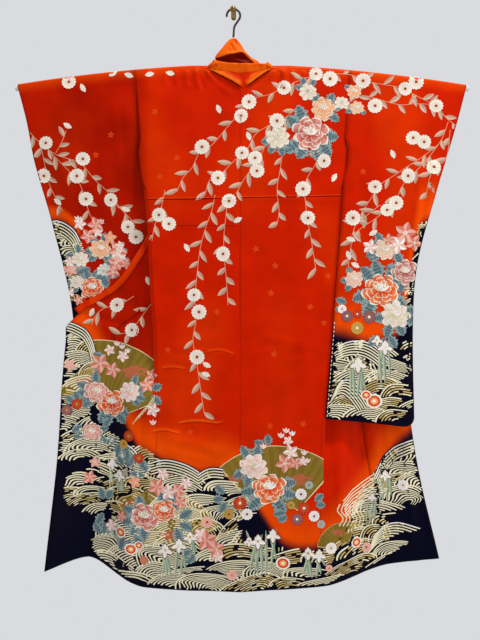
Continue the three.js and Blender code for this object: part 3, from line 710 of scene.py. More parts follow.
def halfRows(half):
    backRows, frontRows = [], []
    length, gap = cloth["length"], cloth["seamGap"]

    def backRow(down, inner, innerZ=None):
        fall = down * length
        openSide = smoothstep(fall, 205, 262) * (1 - smoothstep(fall, 330, 380))
        outer = read(half["outline"], "down", "edge", down) - sideTurn * (1 - openSide) - gap
        points = []
        for j in range(body["columns"] + 1):
            u = j / body["columns"]
            x = lerp(inner, outer, u)
            smooth = hangZ(half, x, down)
            z = lerp(smooth if innerZ is None else innerZ, smooth, smoothstep(u, 0, 0.5))
            lift = creaseLift(backCreases, x, fall) + tremble(x, fall, half["sign"]) * smoothstep(fall, 60, 200)
            drop = cloth["shoulderTop"] - z
            nearNeck = smoothstep(shoulderZ(x) - z, 12, 26)
            lift += creaseLift(neckCreases, x, drop, 26) * nearNeck
            dip = body["seamDip"] * math.exp(-((x / 3.5) ** 2)) * smoothstep(fall, 90, 120)
            points.append(place(half, x, backDepth(down) + lift * (1 - u ** 8) - dip, z))
        centreTuck = body["seamAllowance"] if half is leftHalf and inner < 1 else 0.1
        backRows.append(tucked(points, centreTuck, body["seamAllowance"] if fall > 12 else 0.1))

    for down in refined([1, 0.87, 0.75, 0.64, 0.54, 0.45, 0.37, 0.31, 0.27, 0.2375, 0.206, 0.164, 0.128, 0.075]):
        backRow(down, gap / 2)
    neckLow = rodZ(0) - neckDrop
    for i in range(1, body["underNeckRows"]):
        t = i / body["underNeckRows"]
        down = lerp(0.075, body["neckRowDown"], t)
        backRow(down, gap / 2, lerp(hangZ(half, 0, 0.075), neckLow, t))
    for i in range(body["neckRows"] + 1):
        turned = (math.pi / 2) * i / body["neckRows"]
        down = lerp(body["neckRowDown"], 0, i / body["neckRows"])
        backRow(down, gap / 2 + neckHalfWidth * math.sin(turned), rodZ(0) - neckDrop * math.cos(turned))
    shoulderEdge = half["outline"][0]["edge"] - sideTurn - gap
    for i in range(1, body["turnRows"]):
        turned = math.pi * i / body["turnRows"]
        points = []
        for j in range(body["columns"] + 1):
            x = lerp(neckHalfWidth + gap / 2, shoulderEdge, j / body["columns"])
            points.append(place(
                half, x, cloth["rodDepth"] + clothOnRod * math.cos(turned),
                rodZ(x) + clothOnRod * math.sin(turned)))
        backRows.append(tucked(points, 0.1, 0.1))
    creases = leftFrontCreases if half is leftHalf else rightFrontCreases
    for down in refined(frontDowns):
        section = frontSection(half, down)
        whole = section[-1]["length"]
        hasOkumi = down > okumiTop
        seam = whole - (okumiWidth(down) if hasOkumi else 0)
        runs = [spread(section, gap, seam - gap / 2 - curlGap(down), body["columns"])]
        if hasOkumi:
            runs.append(spread(section, seam + gap / 2, whole - gap / 2, body["okumiColumns"]))
        made = []
        for run in runs:
            points = []
            for point in reversed(run):
                fall = down * length
                lift = creaseLift(creases, point["x"], fall) + tremble(point["x"], fall, half["sign"] + 3)
                z = hangZ(half, point["x"], down)
                points.append(place(half, point["x"], point["depth"] + point["shown"] * lift, z))
            made.append(points)
        made[0] = tucked(made[0], body["seamAllowance"] if hasOkumi else 0.1, 0.1)
        frontRows.append(made)
    return backRows, frontRows


def sew(half, bodyName, okumiName):
    backRows, frontRows = halfRows(half)
    toViewer = Vector((0, -1, 0))
    whole = backRows + [runs[0] for runs in frontRows]
    clothSheet(bodyName, whole, toViewer, bodyDye)
    clothSheet(okumiName, [runs[1] for runs in frontRows if len(runs) > 1], toViewer, bodyDye)


# Creases that the cloth shows but its solid leaves out.
backCreases += table(
    creaseNames,
    (104, 4, 92, 62, 5, 2.2), (118, 2, 110, 66, 4, -1.8), (134, 2, 128, 72, 5, 1.8),
    (170, 2, 168, 66, 5, 1.6), (186, 2, 190, 60, 4, -1.6), (10, 70, 60, 30, 5, 1.8),
    (20, 880, 180, 862, 7, 1.6), (150, 905, 262, 880, 8, 2), (90, 1205, 236, 1168, 7, 1.8),
    (60, 1120, 150, 1144, 9, 1.4), (40, 480, 250, 490, 10, 1), (230, 440, 262, 700, 8, 1.6),
)
leftFrontCreases += table(
    creaseNames,
    (330, 600, 392, 700, 7, 3), (350, 840, 380, 960, 9, 3), (300, 930, 316, 1200, 8, 3),
    (430, 980, 452, 1300, 10, 2.4), (505, 1150, 520, 1560, 12, 3),
)
rightFrontCreases += table(
    creaseNames,
    (288, 1040, 300, 1420, 12, 6), (330, 1050, 352, 1500, 11, -5), (420, 1040, 392, 1180, 12, 6), (450, 1090, 470, 1400, 9, 2.6),
    (392, 1060, 372, 1180, 8, 3), (566, 1200, 600, 1590, 12, 2.4),
)
leftSleeveCreases += table(
    creaseNames,
    (345, 60, 340, 380, 8, 2.2), (368, 90, 352, 330, 7, -1.8), (410, 20, 440, 180, 12, 1.8),
    (520, 120, 480, 420, 12, 1.6),
)
rightSleeveCreases += table(
    creaseNames,
    (360, 50, 366, 300, 8, 2), (382, 120, 352, 420, 9, -1.6), (480, 60, 452, 360, 12, 1.6),
    (600, 120, 578, 330, 8, 2), (440, 520, 452, 900, 12, 1.6),
)
sew(leftHalf, "bodyLeft", "okumiLeft")
sew(rightHalf, "bodyRight", "okumiRight")
print("body and overlaps:", len(treeFaces), "faces")

# ---- sleeves ----
sleeves = {"columns": 52, "corner": 34, "pinch": 22, "length": 1058, "turnRows": 12}


def sleeve(half, name, dyeTable):
    creases = leftSleeveCreases if half is leftHalf else rightSleeveCreases
    keys = [1058, 1056, 1050, 1041, 1028, 1003, 930, 840, 750, 665, 580, 510, 450, 405, 365, 330, 300,
            262, 235, 205, 130, 60, 0]
    falls = [down * cloth["length"] for down in refined([key / cloth["length"] for key in keys])]

    def layerRow(fall, layer):
        left = sleeves["length"] - fall
        armhole = 1 - smoothstep(fall, 195, 235)
        bodyEdge = read(half["outline"], "down", "edge", fall / cloth["length"])
        free = bodyEdge + (half["lap"][0] if layer > 0 else half["lap"][1])
        inner = lerp(
            lerp(bodyEdge + 2.4, free, smoothstep(fall, 280, 330)),
            bodyEdge - sideTurn + cloth["seamGap"] / 2, armhole)
        corner = sleeves["corner"]
        rounded = corner - math.sqrt(corner ** 2 - (corner - left) ** 2) if left < corner else 0
        outer = read(half["sleeve"], "fall", "outer", fall) - rounded
        outerDepth = read(half["sleeve"], "fall", "outerDepth", fall)
        apartOpen = outerDepth - read(half["sleeve"], "fall", "innerDepth", fall)
        sewn = cloth["wall"] + cloth["seamGap"] + 0.1
        bottomPinch = smoothstep(left, 0, sleeves["pinch"])
        belowCuff = smoothstep(fall, cuffOpening - 20, cuffOpening + 50)
        points = []
        for j in range(sleeves["columns"] + 1):
            u = 1 - (1 - j / sleeves["columns"]) ** 1.25
            x = lerp(inner, outer, u)
            edgePinch = lerp(1, smoothstep(outer - x, 0, sleeves["pinch"]), belowCuff)
            pinch = edgePinch * bottomPinch
            apart = lerp(sewn, apartOpen, pinch)
            uneven = tremble(x, fall, half["sign"] * 5) * smoothstep(x - inner, 0, 40)
            lift = (creaseLift(creases, x, fall) + uneven) * pinch * smoothstep(fall, 0, 60)
            depth = outerDepth + lift if layer > 0 else outerDepth - apart + 0.3 * lift
            points.append(place(half, x, depth, rodZ(x) - fall))
        return points

    rows = [layerRow(fall, 1) for fall in falls]
    top = rows[-1]
    for i in range(1, sleeves["turnRows"]):
        turned = math.pi * i / sleeves["turnRows"]
        points = []
        for point in top:
            x = half["sign"] * (point.x / mm - cloth["shift"])
            points.append(place(
                half, x, cloth["rodDepth"] + clothOnRod * math.cos(turned),
                rodZ(x) + clothOnRod * math.sin(turned)))
        rows.append(points)
    rows += [layerRow(fall, -1) for fall in reversed(falls)]
    return clothSheet(name, rows, Vector((0, -1, 0)), dyeTable)


sleeve(leftHalf, "sleeveLeft", leftSleeveDye)
sleeve(rightHalf, "sleeveRight", rightSleeveDye)
print("sleeves:", len(treeFaces), "faces")

# ---- collar ----
# fold: how far the band is turned over on itself, in degrees. lean: how far it stands up.
collarFront = table("down fold", (0, 0), (0.07, 0), (0.12, 90), (0.17, 180))
collarRod = table("round fold rise", (150, 0, 0.3), (120, 60, 0.5), (90, 140, 0.62), (60, 172, 0.68), (30, 180, 0.7))
collarValues = {"backHeight": 25, "sideHeight": 32, "rightHeight": 18, "backLean": 0.42, "flatPoints": 6, "turnPoints": 8}


def collarStations(half):
    sideHeight = collarValues["sideHeight"] if half is leftHalf else collarValues["rightHeight"]
    stations = []
    downs = refined(frontDowns[:collarRows])
    for down in reversed(downs):
        section = frontSection(half, down)
        tip, before = section[-1], section[-2]
        stepX, stepDepth = tip["x"] - before["x"], tip["depth"] - before["depth"]
        step = math.hypot(stepX, stepDepth)
        stations.append({
            "point": place(half, tip["x"], tip["depth"], hangZ(half, tip["x"], down)),
            "out": Vector((half["sign"] * stepX / step, -stepDepth / step, 0)),
            "outer": Vector((-half["sign"] * stepDepth / step, -stepX / step, 0)),
            "fold": read(collarFront, "down", "fold", down),
            "width": collarReach,
            "start": cloth["seamGap"] / 2 + curlGap(down),
            "tail": lerp(3, 12, smoothstep(down, 0.01, 0.08)),
        })
    for rod in collarRod:
        turned = math.radians(rod["round"])
        stations.append({
            "point": place(
                half, neckHalfWidth, cloth["rodDepth"] + clothOnRod * math.cos(turned),
                rodZ(neckHalfWidth) + clothOnRod * math.sin(turned)),
            "out": Vector((-half["sign"] * math.sqrt(1 - rod["rise"] ** 2), 0, rod["rise"])),
            "outer": Vector((0, -math.cos(turned), math.sin(turned))),
            "fold": rod["fold"],
            "width": lerp(sideHeight, collarReach, rod["round"] / 180),
            "start": cloth["seamGap"] / 2 + 0.75 * cloth["wall"] * rod["rise"],
            "tail": 3,
        })
    rows = body["neckRows"]
    for i in range(rows, -1, -1):
        turned = (math.pi / 2) * i / rows
        x = neckHalfWidth * math.sin(turned)
        down = lerp(body["neckRowDown"], 0, i / rows)
        lift = creaseLift(backCreases, x, down * cloth["length"])
        stations.append({
            "point": place(half, x, backDepth(down) + lift, rodZ(0) - neckDrop * math.cos(turned)),
            "out": Vector((
                -half["sign"] * 0.7 * math.sin(turned), -collarValues["backLean"] * math.cos(turned),
                0.72 + 0.28 * math.cos(turned))),
            "outer": Vector((0, -1, 0)),
            "fold": 180,
            "width": lerp(collarValues["backHeight"], sideHeight, math.sin(turned) ** 2),
            "start": cloth["seamGap"] + 0.6 * math.cos(turned),
            "allowance": 4.6 * math.cos(turned),
            "tail": 2,
        })
    return stations


# Places across the band: out from the seam, over the fold and back inside.
def collarProfile(station):
    fold = math.radians(station["fold"])
    flat = station["width"] - collarFoldRadius
    steps = collarValues["flatPoints"]
    hidden = station.get("allowance", 0)
    points = [(station["start"] - hidden, -0.5 * hidden)]
    points += [(lerp(station["start"], flat, k / steps), 0) for k in range(steps + 1)]
    turns = collarValues["turnPoints"]
    for k in range(1, turns + 1):
        turned = fold * k / turns + 0.0001
        points.append((
            flat + collarFoldRadius * math.sin(turned) + (math.pi - fold) * 0.3 * k / turns,
            -collarFoldRadius * (1 - math.cos(turned))))
    a, b = points[-1]
    for k in range(1, 5):
        points.append((
            a + station["tail"] * k / 4 * math.cos(fold), b - station["tail"] * k / 4 * math.sin(fold)))
    return points


def collar():
    stations = collarStations(leftHalf) + list(reversed(collarStations(rightHalf)[:-1]))
    rows = []
    for i, station in enumerate(stations):
        run = stations[min(i + 1, len(stations) - 1)]["point"] - stations[max(i - 1, 0)]["point"]
        run.normalize()
        out = station["out"] - run * run.dot(station["out"])
        out.normalize()
        normal = run.cross(out)
        if normal.dot(station["outer"]) < 0:
            normal.negate()
        rows.append([station["point"] + (out * a + normal * b) * mm for a, b in collarProfile(station)])

    # The turned band's small uneven folds are painted: noise-shaped streaks of darker vermilion as painted shade.
    def bandColourAndShade(point):
        fold = noise.noise(Vector((point.x * 46, point.y * 20, point.z * 16)))
        if point.z / mm < shoulderZ(0) - 60:
            return mixed(dyesAndPaintedLight["bright"], dyesAndPaintedLight["vermilion"], 0.55 + 0.4 * smoothstep(fold, -0.2, 0.3))
        return mixed(dyesAndPaintedLight["collar"], dyesAndPaintedLight["vermilion"], 0.7 * smoothstep(fold, 0.05, 0.5))

    return clothSheet("collar", rows, Vector((0, -1, 0)), None, lining=dyesAndPaintedLight["collar"], colourOf=bandColourAndShade)


collar()

# The collar's inner half, drawn up in a peak to the hanger's stem.
peak = {
    "outline": table(
        "z left right depth",
        (-178, -62, 60, 50.4), (-168, -71, 56, 50.4), (-156, -76, 34, 50.5), (-149, -70, 23, 57),
        (-135, -58, 12, 56), (-118, -45, 2, 54), (-101, -30, -11, 51),
    ),
    "columns": 30,
    "rows": 36,
}


def collarPeak():
    outline = peak["outline"]
    rows = []
    for i in range(peak["rows"] + 1):
        z = lerp(outline[0]["z"], outline[-1]["z"], i / peak["rows"])
        left, right, depth = (read(outline, "z", name, z) for name in ("left", "right", "depth"))
        points = []
        for j in range(peak["columns"] + 1):
            u = j / peak["columns"]
            wrap = (2 * u - 1) ** 2 * lerp(6, 2, smoothstep(z, -165, -150))
            lip = -155 + 0.16 * (lerp(left, right, u) + 62)
            pleat = 1.3 * math.sin(13 * u + (z + 178) / 9) * (1 - (2 * u - 1) ** 4)
            pleat += 2 * math.exp(-(((z - lip - 2) / 3.5) ** 2)) * (1 - (2 * u - 1) ** 4)
            point = Vector(((cloth["shift"] + lerp(left, right, u)) * mm, -(depth - wrap + pleat) * mm, z * mm))
            points.append(point)
        rows.append(points)

    # Painted light on the peak: the hollow under the flap's lip is painted deep red shade, a painted highlight runs
    # along the lip, and the flap carries streaks of painted fold shade.
    def peakColourAndShade(point):
        across = point.x / mm - cloth["shift"]
        z = point.z / mm
        lip = -155 + 0.16 * (across + 62) if across < 8 else -143.8 - 0.75 * (across - 8)
        inSlot = smoothstep(lip - z, -1.2, 1.2) * (1 - smoothstep(across, 38, 46))
        nearLip = math.exp(-(((z - lip - 2.5) / 3) ** 2))
        fold = noise.noise(Vector((across / 9 + z / 14, z / 30, 5)))
        flap = mixed(dyesAndPaintedLight["collar"], dyesAndPaintedLight["vermilion"], 0.85 * smoothstep(fold, 0.02, 0.45))
        flap = mixed(flap, dyesAndPaintedLight["lip"], nearLip)
        return mixed(flap, dyesAndPaintedLight["shade"], inSlot)

    return clothSheet(
        "collarInner", rows, Vector((0, -1, 0)), None, lining=dyesAndPaintedLight["vermilion"], colourOf=peakColourAndShade)


collarPeak()
print("collar:", len(treeFaces), "faces")

# ---- print ----
inksAndPaintedLight = {
    "cream": srgb(234, 224, 208),
    "white": srgb(236, 230, 224),
    "petalLine": srgb(176, 128, 104),
    "core": srgb(150, 72, 36),
    "leafPink": srgb(206, 172, 148),
    "leafPinkDark": srgb(184, 142, 118),
    "stem": srgb(232, 152, 118),
    "peonyPink": srgb(182, 74, 66),
    "peonyPinkPale": srgb(228, 172, 156),
    "peonyOrange": srgb(206, 62, 20),
    "peonyOrangePale": srgb(238, 150, 92),
    "peonyCream": srgb(208, 188, 152),
    "peonyMauve": srgb(168, 78, 74),
    "leafBlue": srgb(102, 124, 128),
    "leafBluePale": srgb(156, 172, 166),
    "leafBlueDark": srgb(68, 88, 94),
    "fan": srgb(136, 110, 40, 0.85),
    "fanLine": srgb(226, 208, 160),
    "cloud": srgb(176, 96, 62),
    "wave": srgb(236, 226, 190),
    "waveGold": srgb(204, 178, 112, 0.75),
    "black": srgb(14, 13, 22),
    "mauve": srgb(132, 78, 92),
    "red": srgb(186, 40, 30),
    "gold": srgb(190, 150, 60, 0.7),
    "salmon": srgb(208, 118, 98),
    "sage": srgb(124, 144, 126),
    "sagePale": srgb(176, 184, 154),
    "outline": srgb(112, 70, 58),
    "woven": srgb(216, 62, 16),
    # The next two inks are painted shadow under the waist tuck and a painted highlight above it.
    "seam": srgb(104, 8, 2),
    "tuckHighlight": srgb(232, 74, 20),
}
lifts = {"ground": 0.42, "line": 0.5, "crestGround": 0.54, "crest": 0.59, "leaf": 0.65, "flower": 0.8, "detail": 0.95}
chance = random.Random(7)
clothTree = BVHTree.FromPolygons(treePoints, treeFaces)
pen = bmesh.new()
stowed = []


# Where the line of sight through a place in the frame meets the cloth, as (x, z).
def onCloth(across, down):
    aim = Vector((
        (across - view["width"] / 2) / view["focal"], 1, (view["height"] / 2 - down) / view["focal"]))
    hit = clothTree.ray_cast(eye, aim.normalized())[0]
    point = hit or eye + aim * (-eye.y - cloth["rodDepth"] * mm)
    return point.x / mm, point.z / mm


def startPen():
    bm = bmesh.new()
    bm.verts.layers.float.new("lift")
    bm.loops.layers.float_color.new("dyeAndPaintedLight")
    return bm


# Puts what has been drawn aside, so that the next motifs are drawn quickly.
def stow():
    global pen
    mesh = bpy.data.meshes.new("motif")
    pen.to_mesh(mesh)
    pen.free()
    stowed.append(mesh)
    pen = startPen()


# A grid of small faces. spot gives the place of (u, v) as (x, z), and ink its colour.
def patch(columns, rows, spot, ink, lift, keep=None):
    if len(pen.verts) > 6000:
        stow()
    liftLayer = pen.verts.layers.float["lift"]
    colourLayer = pen.loops.layers.float_color["dyeAndPaintedLight"]
    verts = bmesh.ops.create_grid(pen, x_segments=columns, y_segments=rows, size=0.5)["verts"]
    faces = {face for vert in verts for face in vert.link_faces}
    uv = {vert: (vert.co.x + 0.5, vert.co.y + 0.5) for vert in verts}
    for face in faces:
        middleU = sum(uv[vert][0] for vert in face.verts) / len(face.verts)
        middleV = sum(uv[vert][1] for vert in face.verts) / len(face.verts)
        for loop in face.loops:
            u, v = uv[loop.vert]
            loop[colourLayer] = ink(lerp(middleU, u, 0.8), lerp(middleV, v, 0.8))
    for vert in verts:
        x, z = spot(*uv[vert])
        vert.co = Vector((x, 0, z))
        vert[liftLayer] = lift(*uv[vert]) if callable(lift) else lift
    if keep:
        doomed = []
        for face in faces:
            middle = face.calc_center_median()
            if not keep(middle.x, middle.z):
                doomed.append(face)
        bmesh.ops.delete(pen, geom=doomed, context="FACES")


pen.free()
pen = startPen()


# A patch between rings: radii are read from v, and the petals' notches from the turn.
def flower(at, radius, petals, petalInk, lineInk, coreInk, span=360, turn=0, squash=1.0, lift="flower"):
    x0, z0 = at
    tilt = math.radians(turn)
    columns = petals * 3
    ringRadii = (0, 0.2, 0.62, 1)

    def spot(u, v):
        petal, part = divmod(round(u * columns), 3)
        angle = math.radians(span) * (petal + (0, 0.2, 0.6)[part]) / petals - math.radians(span) / 2
        ring = ringRadii[round(v * 3)]
        notch = (0.9, 0.93, 1)[part] if v > 0.9 else 1
        a = radius * ring * notch * math.cos(angle)
        b = radius * ring * notch * math.sin(angle) * squash
        return x0 + a * math.cos(tilt) - b * math.sin(tilt), z0 + a * math.sin(tilt) + b * math.cos(tilt)

    def ink(u, v):
        part = (u * columns) % 3
        if v < 0.33:
            return inksAndPaintedLight[coreInk]
        if part < 1:
            return mixed(inksAndPaintedLight[petalInk], inksAndPaintedLight[lineInk], 0.75 if v < 0.67 else 0.4)
        return mixed(inksAndPaintedLight[petalInk], inksAndPaintedLight[lineInk], 0.14 if v < 0.6 else 0)

    patch(columns, 3, spot, ink, lifts[lift])


def leaf(at, length, width, turn, ink, darkInk, lobes=0, lift="leaf", steps=6, bend=0.0):
    x0, z0 = at
    tilt = math.radians(turn)

    def spot(u, v):
        half = width * 0.5 * math.sin(math.pi * clamp(u, 0.02, 0.985)) ** 0.8
        half *= 1 + (0.2 * math.sin(lobes * 2 * math.pi * u) if lobes else 0)
        a, b = length * u, (v - 0.5) * 2 * half + bend * length * u * u
        return x0 + a * math.cos(tilt) - b * math.sin(tilt), z0 + a * math.sin(tilt) + b * math.cos(tilt)

    # Lobed leaves show a pale rib and dark veins.
    def tone(u, v):
        if not lobes:
            return inksAndPaintedLight[darkInk] if 0.5 < v else inksAndPaintedLight[ink]
        if 0.25 < v < 0.75:
            return inksAndPaintedLight[ink] if int(u * steps) % 3 else inksAndPaintedLight["leafBlueDark"]
        return inksAndPaintedLight[darkInk] if int(u * steps) % 2 else inksAndPaintedLight[ink]

    patch(steps, 4 if lobes else 2, spot, tone, lifts[lift])


# Points evenly along a smooth curve through the given ones.
def smoothPath(points, step):
    path = []
    for i in range(len(points) - 1):
        p0, p1 = points[max(i - 1, 0)], points[i]
        p2, p3 = points[i + 1], points[min(i + 2, len(points) - 1)]
        count = max(1, round(math.dist(p1, p2) / step))
        for k in range(count):
            t = k / count
            path.append(tuple(
                0.5 * (2 * p1[n] + (p2[n] - p0[n]) * t + (2 * p0[n] - 5 * p1[n] + 4 * p2[n] - p3[n]) * t * t
                       + (3 * p1[n] - p0[n] - 3 * p2[n] + p3[n]) * t ** 3)
                for n in (0, 1)))
    path.append(tuple(points[-1]))
    return path


def ribbon(path, width, ink, lift="line", keep=None):
    steps = len(path) - 1

    def spot(u, v):
        i = round(u * steps)
        x0, z0 = path[max(i - 1, 0)]
        x1, z1 = path[min(i + 1, steps)]
        run = math.hypot(x1 - x0, z1 - z0) or 1
        aside = (v - 0.5) * width
        return path[i][0] - aside * (z1 - z0) / run, path[i][1] + aside * (x1 - x0) / run

    patch(steps, 1, spot, ink, lifts[lift], keep)


def plain(name):
    colour = inksAndPaintedLight[name]
    return lambda u, v: colour


# Small folds of the cloth itself: raised patches, steep below their line and soft above it, with painted shade below
# the line and a painted highlight on the lip.
# below, above and height are in millimetres; lit is how strong the painted highlight on the fold's lip is, and shade
# how strong the painted shade below it is.
folds = table(
    "places below above height lit shade",
    ([(208, 69), (220, 75), (232, 81), (241, 86.5), (244, 87)], 3.5, 26, 6.5, 0.75, 0.9),
    ([(272, 68.5), (262, 75), (252, 82), (245, 87)], 3.5, 26, 6.5, 0.7, 0.9),
    ([(214, 70.5), (226, 75), (237, 80), (242, 80)], 3, 12, 3.6, 0.8, 0.7),
    ([(266, 70.5), (257, 74), (248, 80)], 3, 12, 3.6, 0.7, 0.7),
    ([(160, 369), (172, 367), (186, 369)], 4, 12, 1.2, 0.22, 0.1),
    ([(175, 424), (195, 421), (218, 423), (226, 419)], 4, 12, 1.5, 0.4, 0.15),
    ([(150, 432), (165, 430), (182, 434)], 4, 12, 1.4, 0.3, 0.12),
    ([(206, 352), (220, 350), (236, 355)], 4, 10, 1, 0.2, 0.1),
)


def foldOver(row):
    path = smoothPath([onCloth(*spot) for spot in row["places"]], 5)
    steps, rows = len(path) - 1, 9
    width = row["below"] + row["above"]
    foot = row["below"] / width

    def rise(u, v):
        side = smoothstep(v, 0, foot) if v < foot else 1 - smoothstep((v - foot) / (1 - foot), 0, 1)
        return side * smoothstep(u, 0, 0.18) * (1 - smoothstep(u, 0.82, 1))

    def spread(v):
        return 0 if v == 0 else foot * v * rows / 3 if v * rows <= 3 else lerp(foot, 1, (v * rows - 3) / (rows - 3))

    def spot(u, v):
        i = round(u * steps)
        (x0, z0), (x1, z1) = path[max(i - 1, 0)], path[min(i + 1, steps)]
        run = math.hypot(x1 - x0, z1 - z0) or 1
        aside = (spread(v) * width - row["below"]) * (1 if x1 > x0 else -1)
        return path[i][0] - aside * (z1 - z0) / run, path[i][1] + aside * (x1 - x0) / run

    def tone(u, v):
        x, z = path[round(u * steps)]
        x2, z2 = spot(round(u * steps) / steps, v)
        ground = dyeAndPaintedLightAt(bodyDye, Vector((x2 * mm, -cloth["rodDepth"] * mm - 0.01, z2 * mm)))
        part = rise(u, spread(v))
        # Painted shade below the fold's line, and a painted highlight on its lip.
        if spread(v) < 0.8 * foot:
            return mixed(ground, dyesAndPaintedLight["shade"], row["shade"] * smoothstep(u, 0, 0.2) * (1 - smoothstep(u, 0.8, 1)))
        return mixed(ground, dyesAndPaintedLight["lip"], row["lit"] * part ** 2)

    patch(steps, rows, spot, tone, lambda u, v: 0.2 + row["height"] * rise(u, spread(v)))


for row in folds:
    foldOver(row)
stow()
print("small folds done")

# A drooping stem with paired leaves.
weeping = {"stemWidth": 1.8, "leafEvery": 28, "leafLength": 39, "leafWidth": 15}


def branch(*places):
    path = smoothPath([onCloth(*spot) for spot in places], 7)
    ribbon(path, weeping["stemWidth"], plain("stem"))
    walked, side = 8, 1
    for (x0, z0), (x1, z1) in zip(path, path[1:]):
        walked += math.dist((x0, z0), (x1, z1))
        if walked < weeping["leafEvery"]:
            continue
        walked = 0
        side = -side
        heading = math.degrees(math.atan2(z1 - z0, x1 - x0))
        length = weeping["leafLength"] * chance.uniform(0.8, 1.15)
        leaf(
            (x1, z1), length, weeping["leafWidth"] * chance.uniform(0.85, 1.1),
            heading + side * chance.uniform(28, 46), "leafPink", "leafPinkDark", bend=0.12 * side)


branches = [
    [(28, 130), (37, 140), (52, 152), (62, 157), (80, 163), (95, 180), (108, 192), (122, 210), (136, 224)],
    [(48, 150), (60, 162), (70, 172), (78, 180), (84, 195), (89, 212), (94, 222)],
    [(40, 140), (45, 165), (50, 185), (57, 200), (63, 211)],
    [(108, 195), (117, 206), (126, 214), (129, 232)],
    [(56, 153), (62, 142), (66, 131)],
    [(330, 75), (305, 78), (284, 88), (268, 95), (250, 100), (238, 115), (225, 130), (212, 145), (200, 152),
     (192, 168), (183, 178), (177, 192)],
    [(300, 105), (285, 118), (270, 125), (255, 135), (247, 150), (235, 160), (222, 173), (210, 180), (205, 195)],
    [(268, 140), (258, 160), (245, 178), (236, 194)],
    [(215, 195), (212, 210), (205, 230), (200, 250), (197, 275), (195, 300), (196, 320), (193, 340), (197, 365),
     (200, 385), (204, 412)],
    [(228, 195), (226, 215), (224, 235), (224, 255), (226, 275), (228, 305)],
    [(165, 190), (162, 205), (155, 225), (152, 241)],
    [(283, 150), (280, 170), (277, 190), (279, 210), (277, 225)],
    [(325, 145), (315, 165), (305, 185), (307, 215), (312, 245), (316, 271)],
    [(336, 112), (350, 102), (363, 96), (380, 100), (400, 105), (415, 104), (435, 106), (446, 118), (456, 128)],
    [(325, 74), (350, 75), (370, 82), (385, 85), (400, 88), (420, 98), (436, 106)],
    [(448, 122), (440, 142), (425, 155), (410, 165), (395, 175), (380, 185), (370, 200), (362, 212)],
    [(440, 142), (425, 162), (405, 182), (395, 200), (380, 215), (366, 225), (357, 232), (351, 246), (348, 270)],
    [(450, 130), (446, 158), (432, 172), (426, 198)],
    [(380, 205), (366, 216), (356, 224), (351, 240)],
    [(134, 296), (125, 302), (117, 306), (105, 308), (96, 315), (92, 325)],
    [(151, 302), (142, 316), (132, 330), (121, 334)],
]
for places in branches:
    branch(*places)

# Seam lines of the waist tuck, painted: a line of painted shadow under a line of painted highlight, and a thinner dark
# line lower down in the same painted shadow colour.
# The basting of the right sleeve's free edge is drawn further on.
tucks = [
    {"places": [(148, 198.6), (195, 198), (240, 197), (290, 196), (341, 195)], "width": 1.5, "ink": "tuckHighlight"},
    {"places": [(148, 199.5), (195, 199), (240, 198), (290, 197), (341, 196)], "width": 2.2, "ink": "seam"},
    {"places": [(150, 226), (190, 225.5), (236, 226)], "width": 0.9, "ink": "seam"},
]
for tuck in tucks:
    ribbon(smoothPath([onCloth(*spot) for spot in tuck["places"]], 9), tuck["width"], plain(tuck["ink"]))

# Full blossoms, by place; and half-open ones with the way they face in degrees.
blossomPlaces = [
    (46, 143), (83, 159), (44, 176), (77, 176), (86, 199), (111, 200), (128, 227), (136, 237), (284, 88),
    (330, 79), (316, 74), (363, 81), (405, 89), (416, 82), (436, 106), (375, 106), (249, 102), (241, 116),
    (277, 121), (413, 138), (424, 142), (242, 153), (255, 158), (257, 171), (218, 178), (202, 147), (159, 215),
    (169, 224), (229, 201), (223, 254), (194, 295), (199, 312), (117, 305), (303, 189), (308, 218), (324, 161),
    (375, 187), (408, 176), (434, 167), (387, 210), (396, 203), (353, 218), (132, 330), (197, 357), (69, 82),
]
budPlaces = [
    (66, 129, 60), (60, 199, 230), (127, 206, 250), (80, 90, 30), (112, 72, 300), (130, 72, 250), (149, 71, 280),
    (171, 70, 260), (222, 108, 200), (252, 135, 200), (331, 176, 330), (396, 153, 200), (190, 246, 210),
    (236, 217, 300), (352, 236, 250), (375, 236, 120), (95, 314, 150), (150, 279, 200), (207, 371, 250),
    (205, 368, 60), (357, 262, 240), (352, 254, 200),
]
blossom = {"radius": 23.5, "petals": 14, "half": 19}
for place_ in blossomPlaces:
    flower(
        onCloth(*place_), blossom["radius"] * chance.uniform(0.92, 1.05), blossom["petals"], "cream", "petalLine",
        "core", turn=chance.uniform(0, 90), squash=chance.uniform(0.9, 1))
for across, down, turn in budPlaces:
    flower(
        onCloth(across, down), blossom["half"], 5, "cream", "petalLine", "core", span=110, turn=turn)
stow()
print("branches and blossoms drawn")


# ---- peonies ----
def petalRing(at, radius, petals, ink, paleInk, turn, squash, lift):
    x0, z0 = at
    columns = petals * 5
    ringRadii = (0.0, 0.35, 0.68, 0.92, 1)
    sizes = [chance.uniform(0.88, 1.08) for _ in range(petals)]
    edge = inksAndPaintedLight["cream"]

    def spot(u, v):
        petal, part = divmod(round(u * columns), 5)
        angle = 2 * math.pi * (petal + (0, 0.1, 0.37, 0.63, 0.9)[part]) / petals + math.radians(turn)
        size = sizes[petal % petals] if part else 0.5 * (sizes[petal % petals] + sizes[petal - 1])
        notch = (0.76, 0.88, 1.03, 0.98, 0.9)[part]
        reach = radius * size * lerp(1, notch, v ** 2) * ringRadii[round(v * 4)]
        return x0 + reach * math.cos(angle), z0 + reach * math.sin(angle) * squash

    def tone(u, v):
        part = (u * columns) % 5
        if v > 0.75:
            return edge
        if part < 1 and v > 0.25:
            return mixed(inksAndPaintedLight[ink], edge, 0.75)
        return mixed(inksAndPaintedLight[ink], inksAndPaintedLight[paleInk], smoothstep(v, 0.2, 0.9) * (0.35 if part > 3 else 0.8))

    patch(columns, 4, spot, tone, lift)


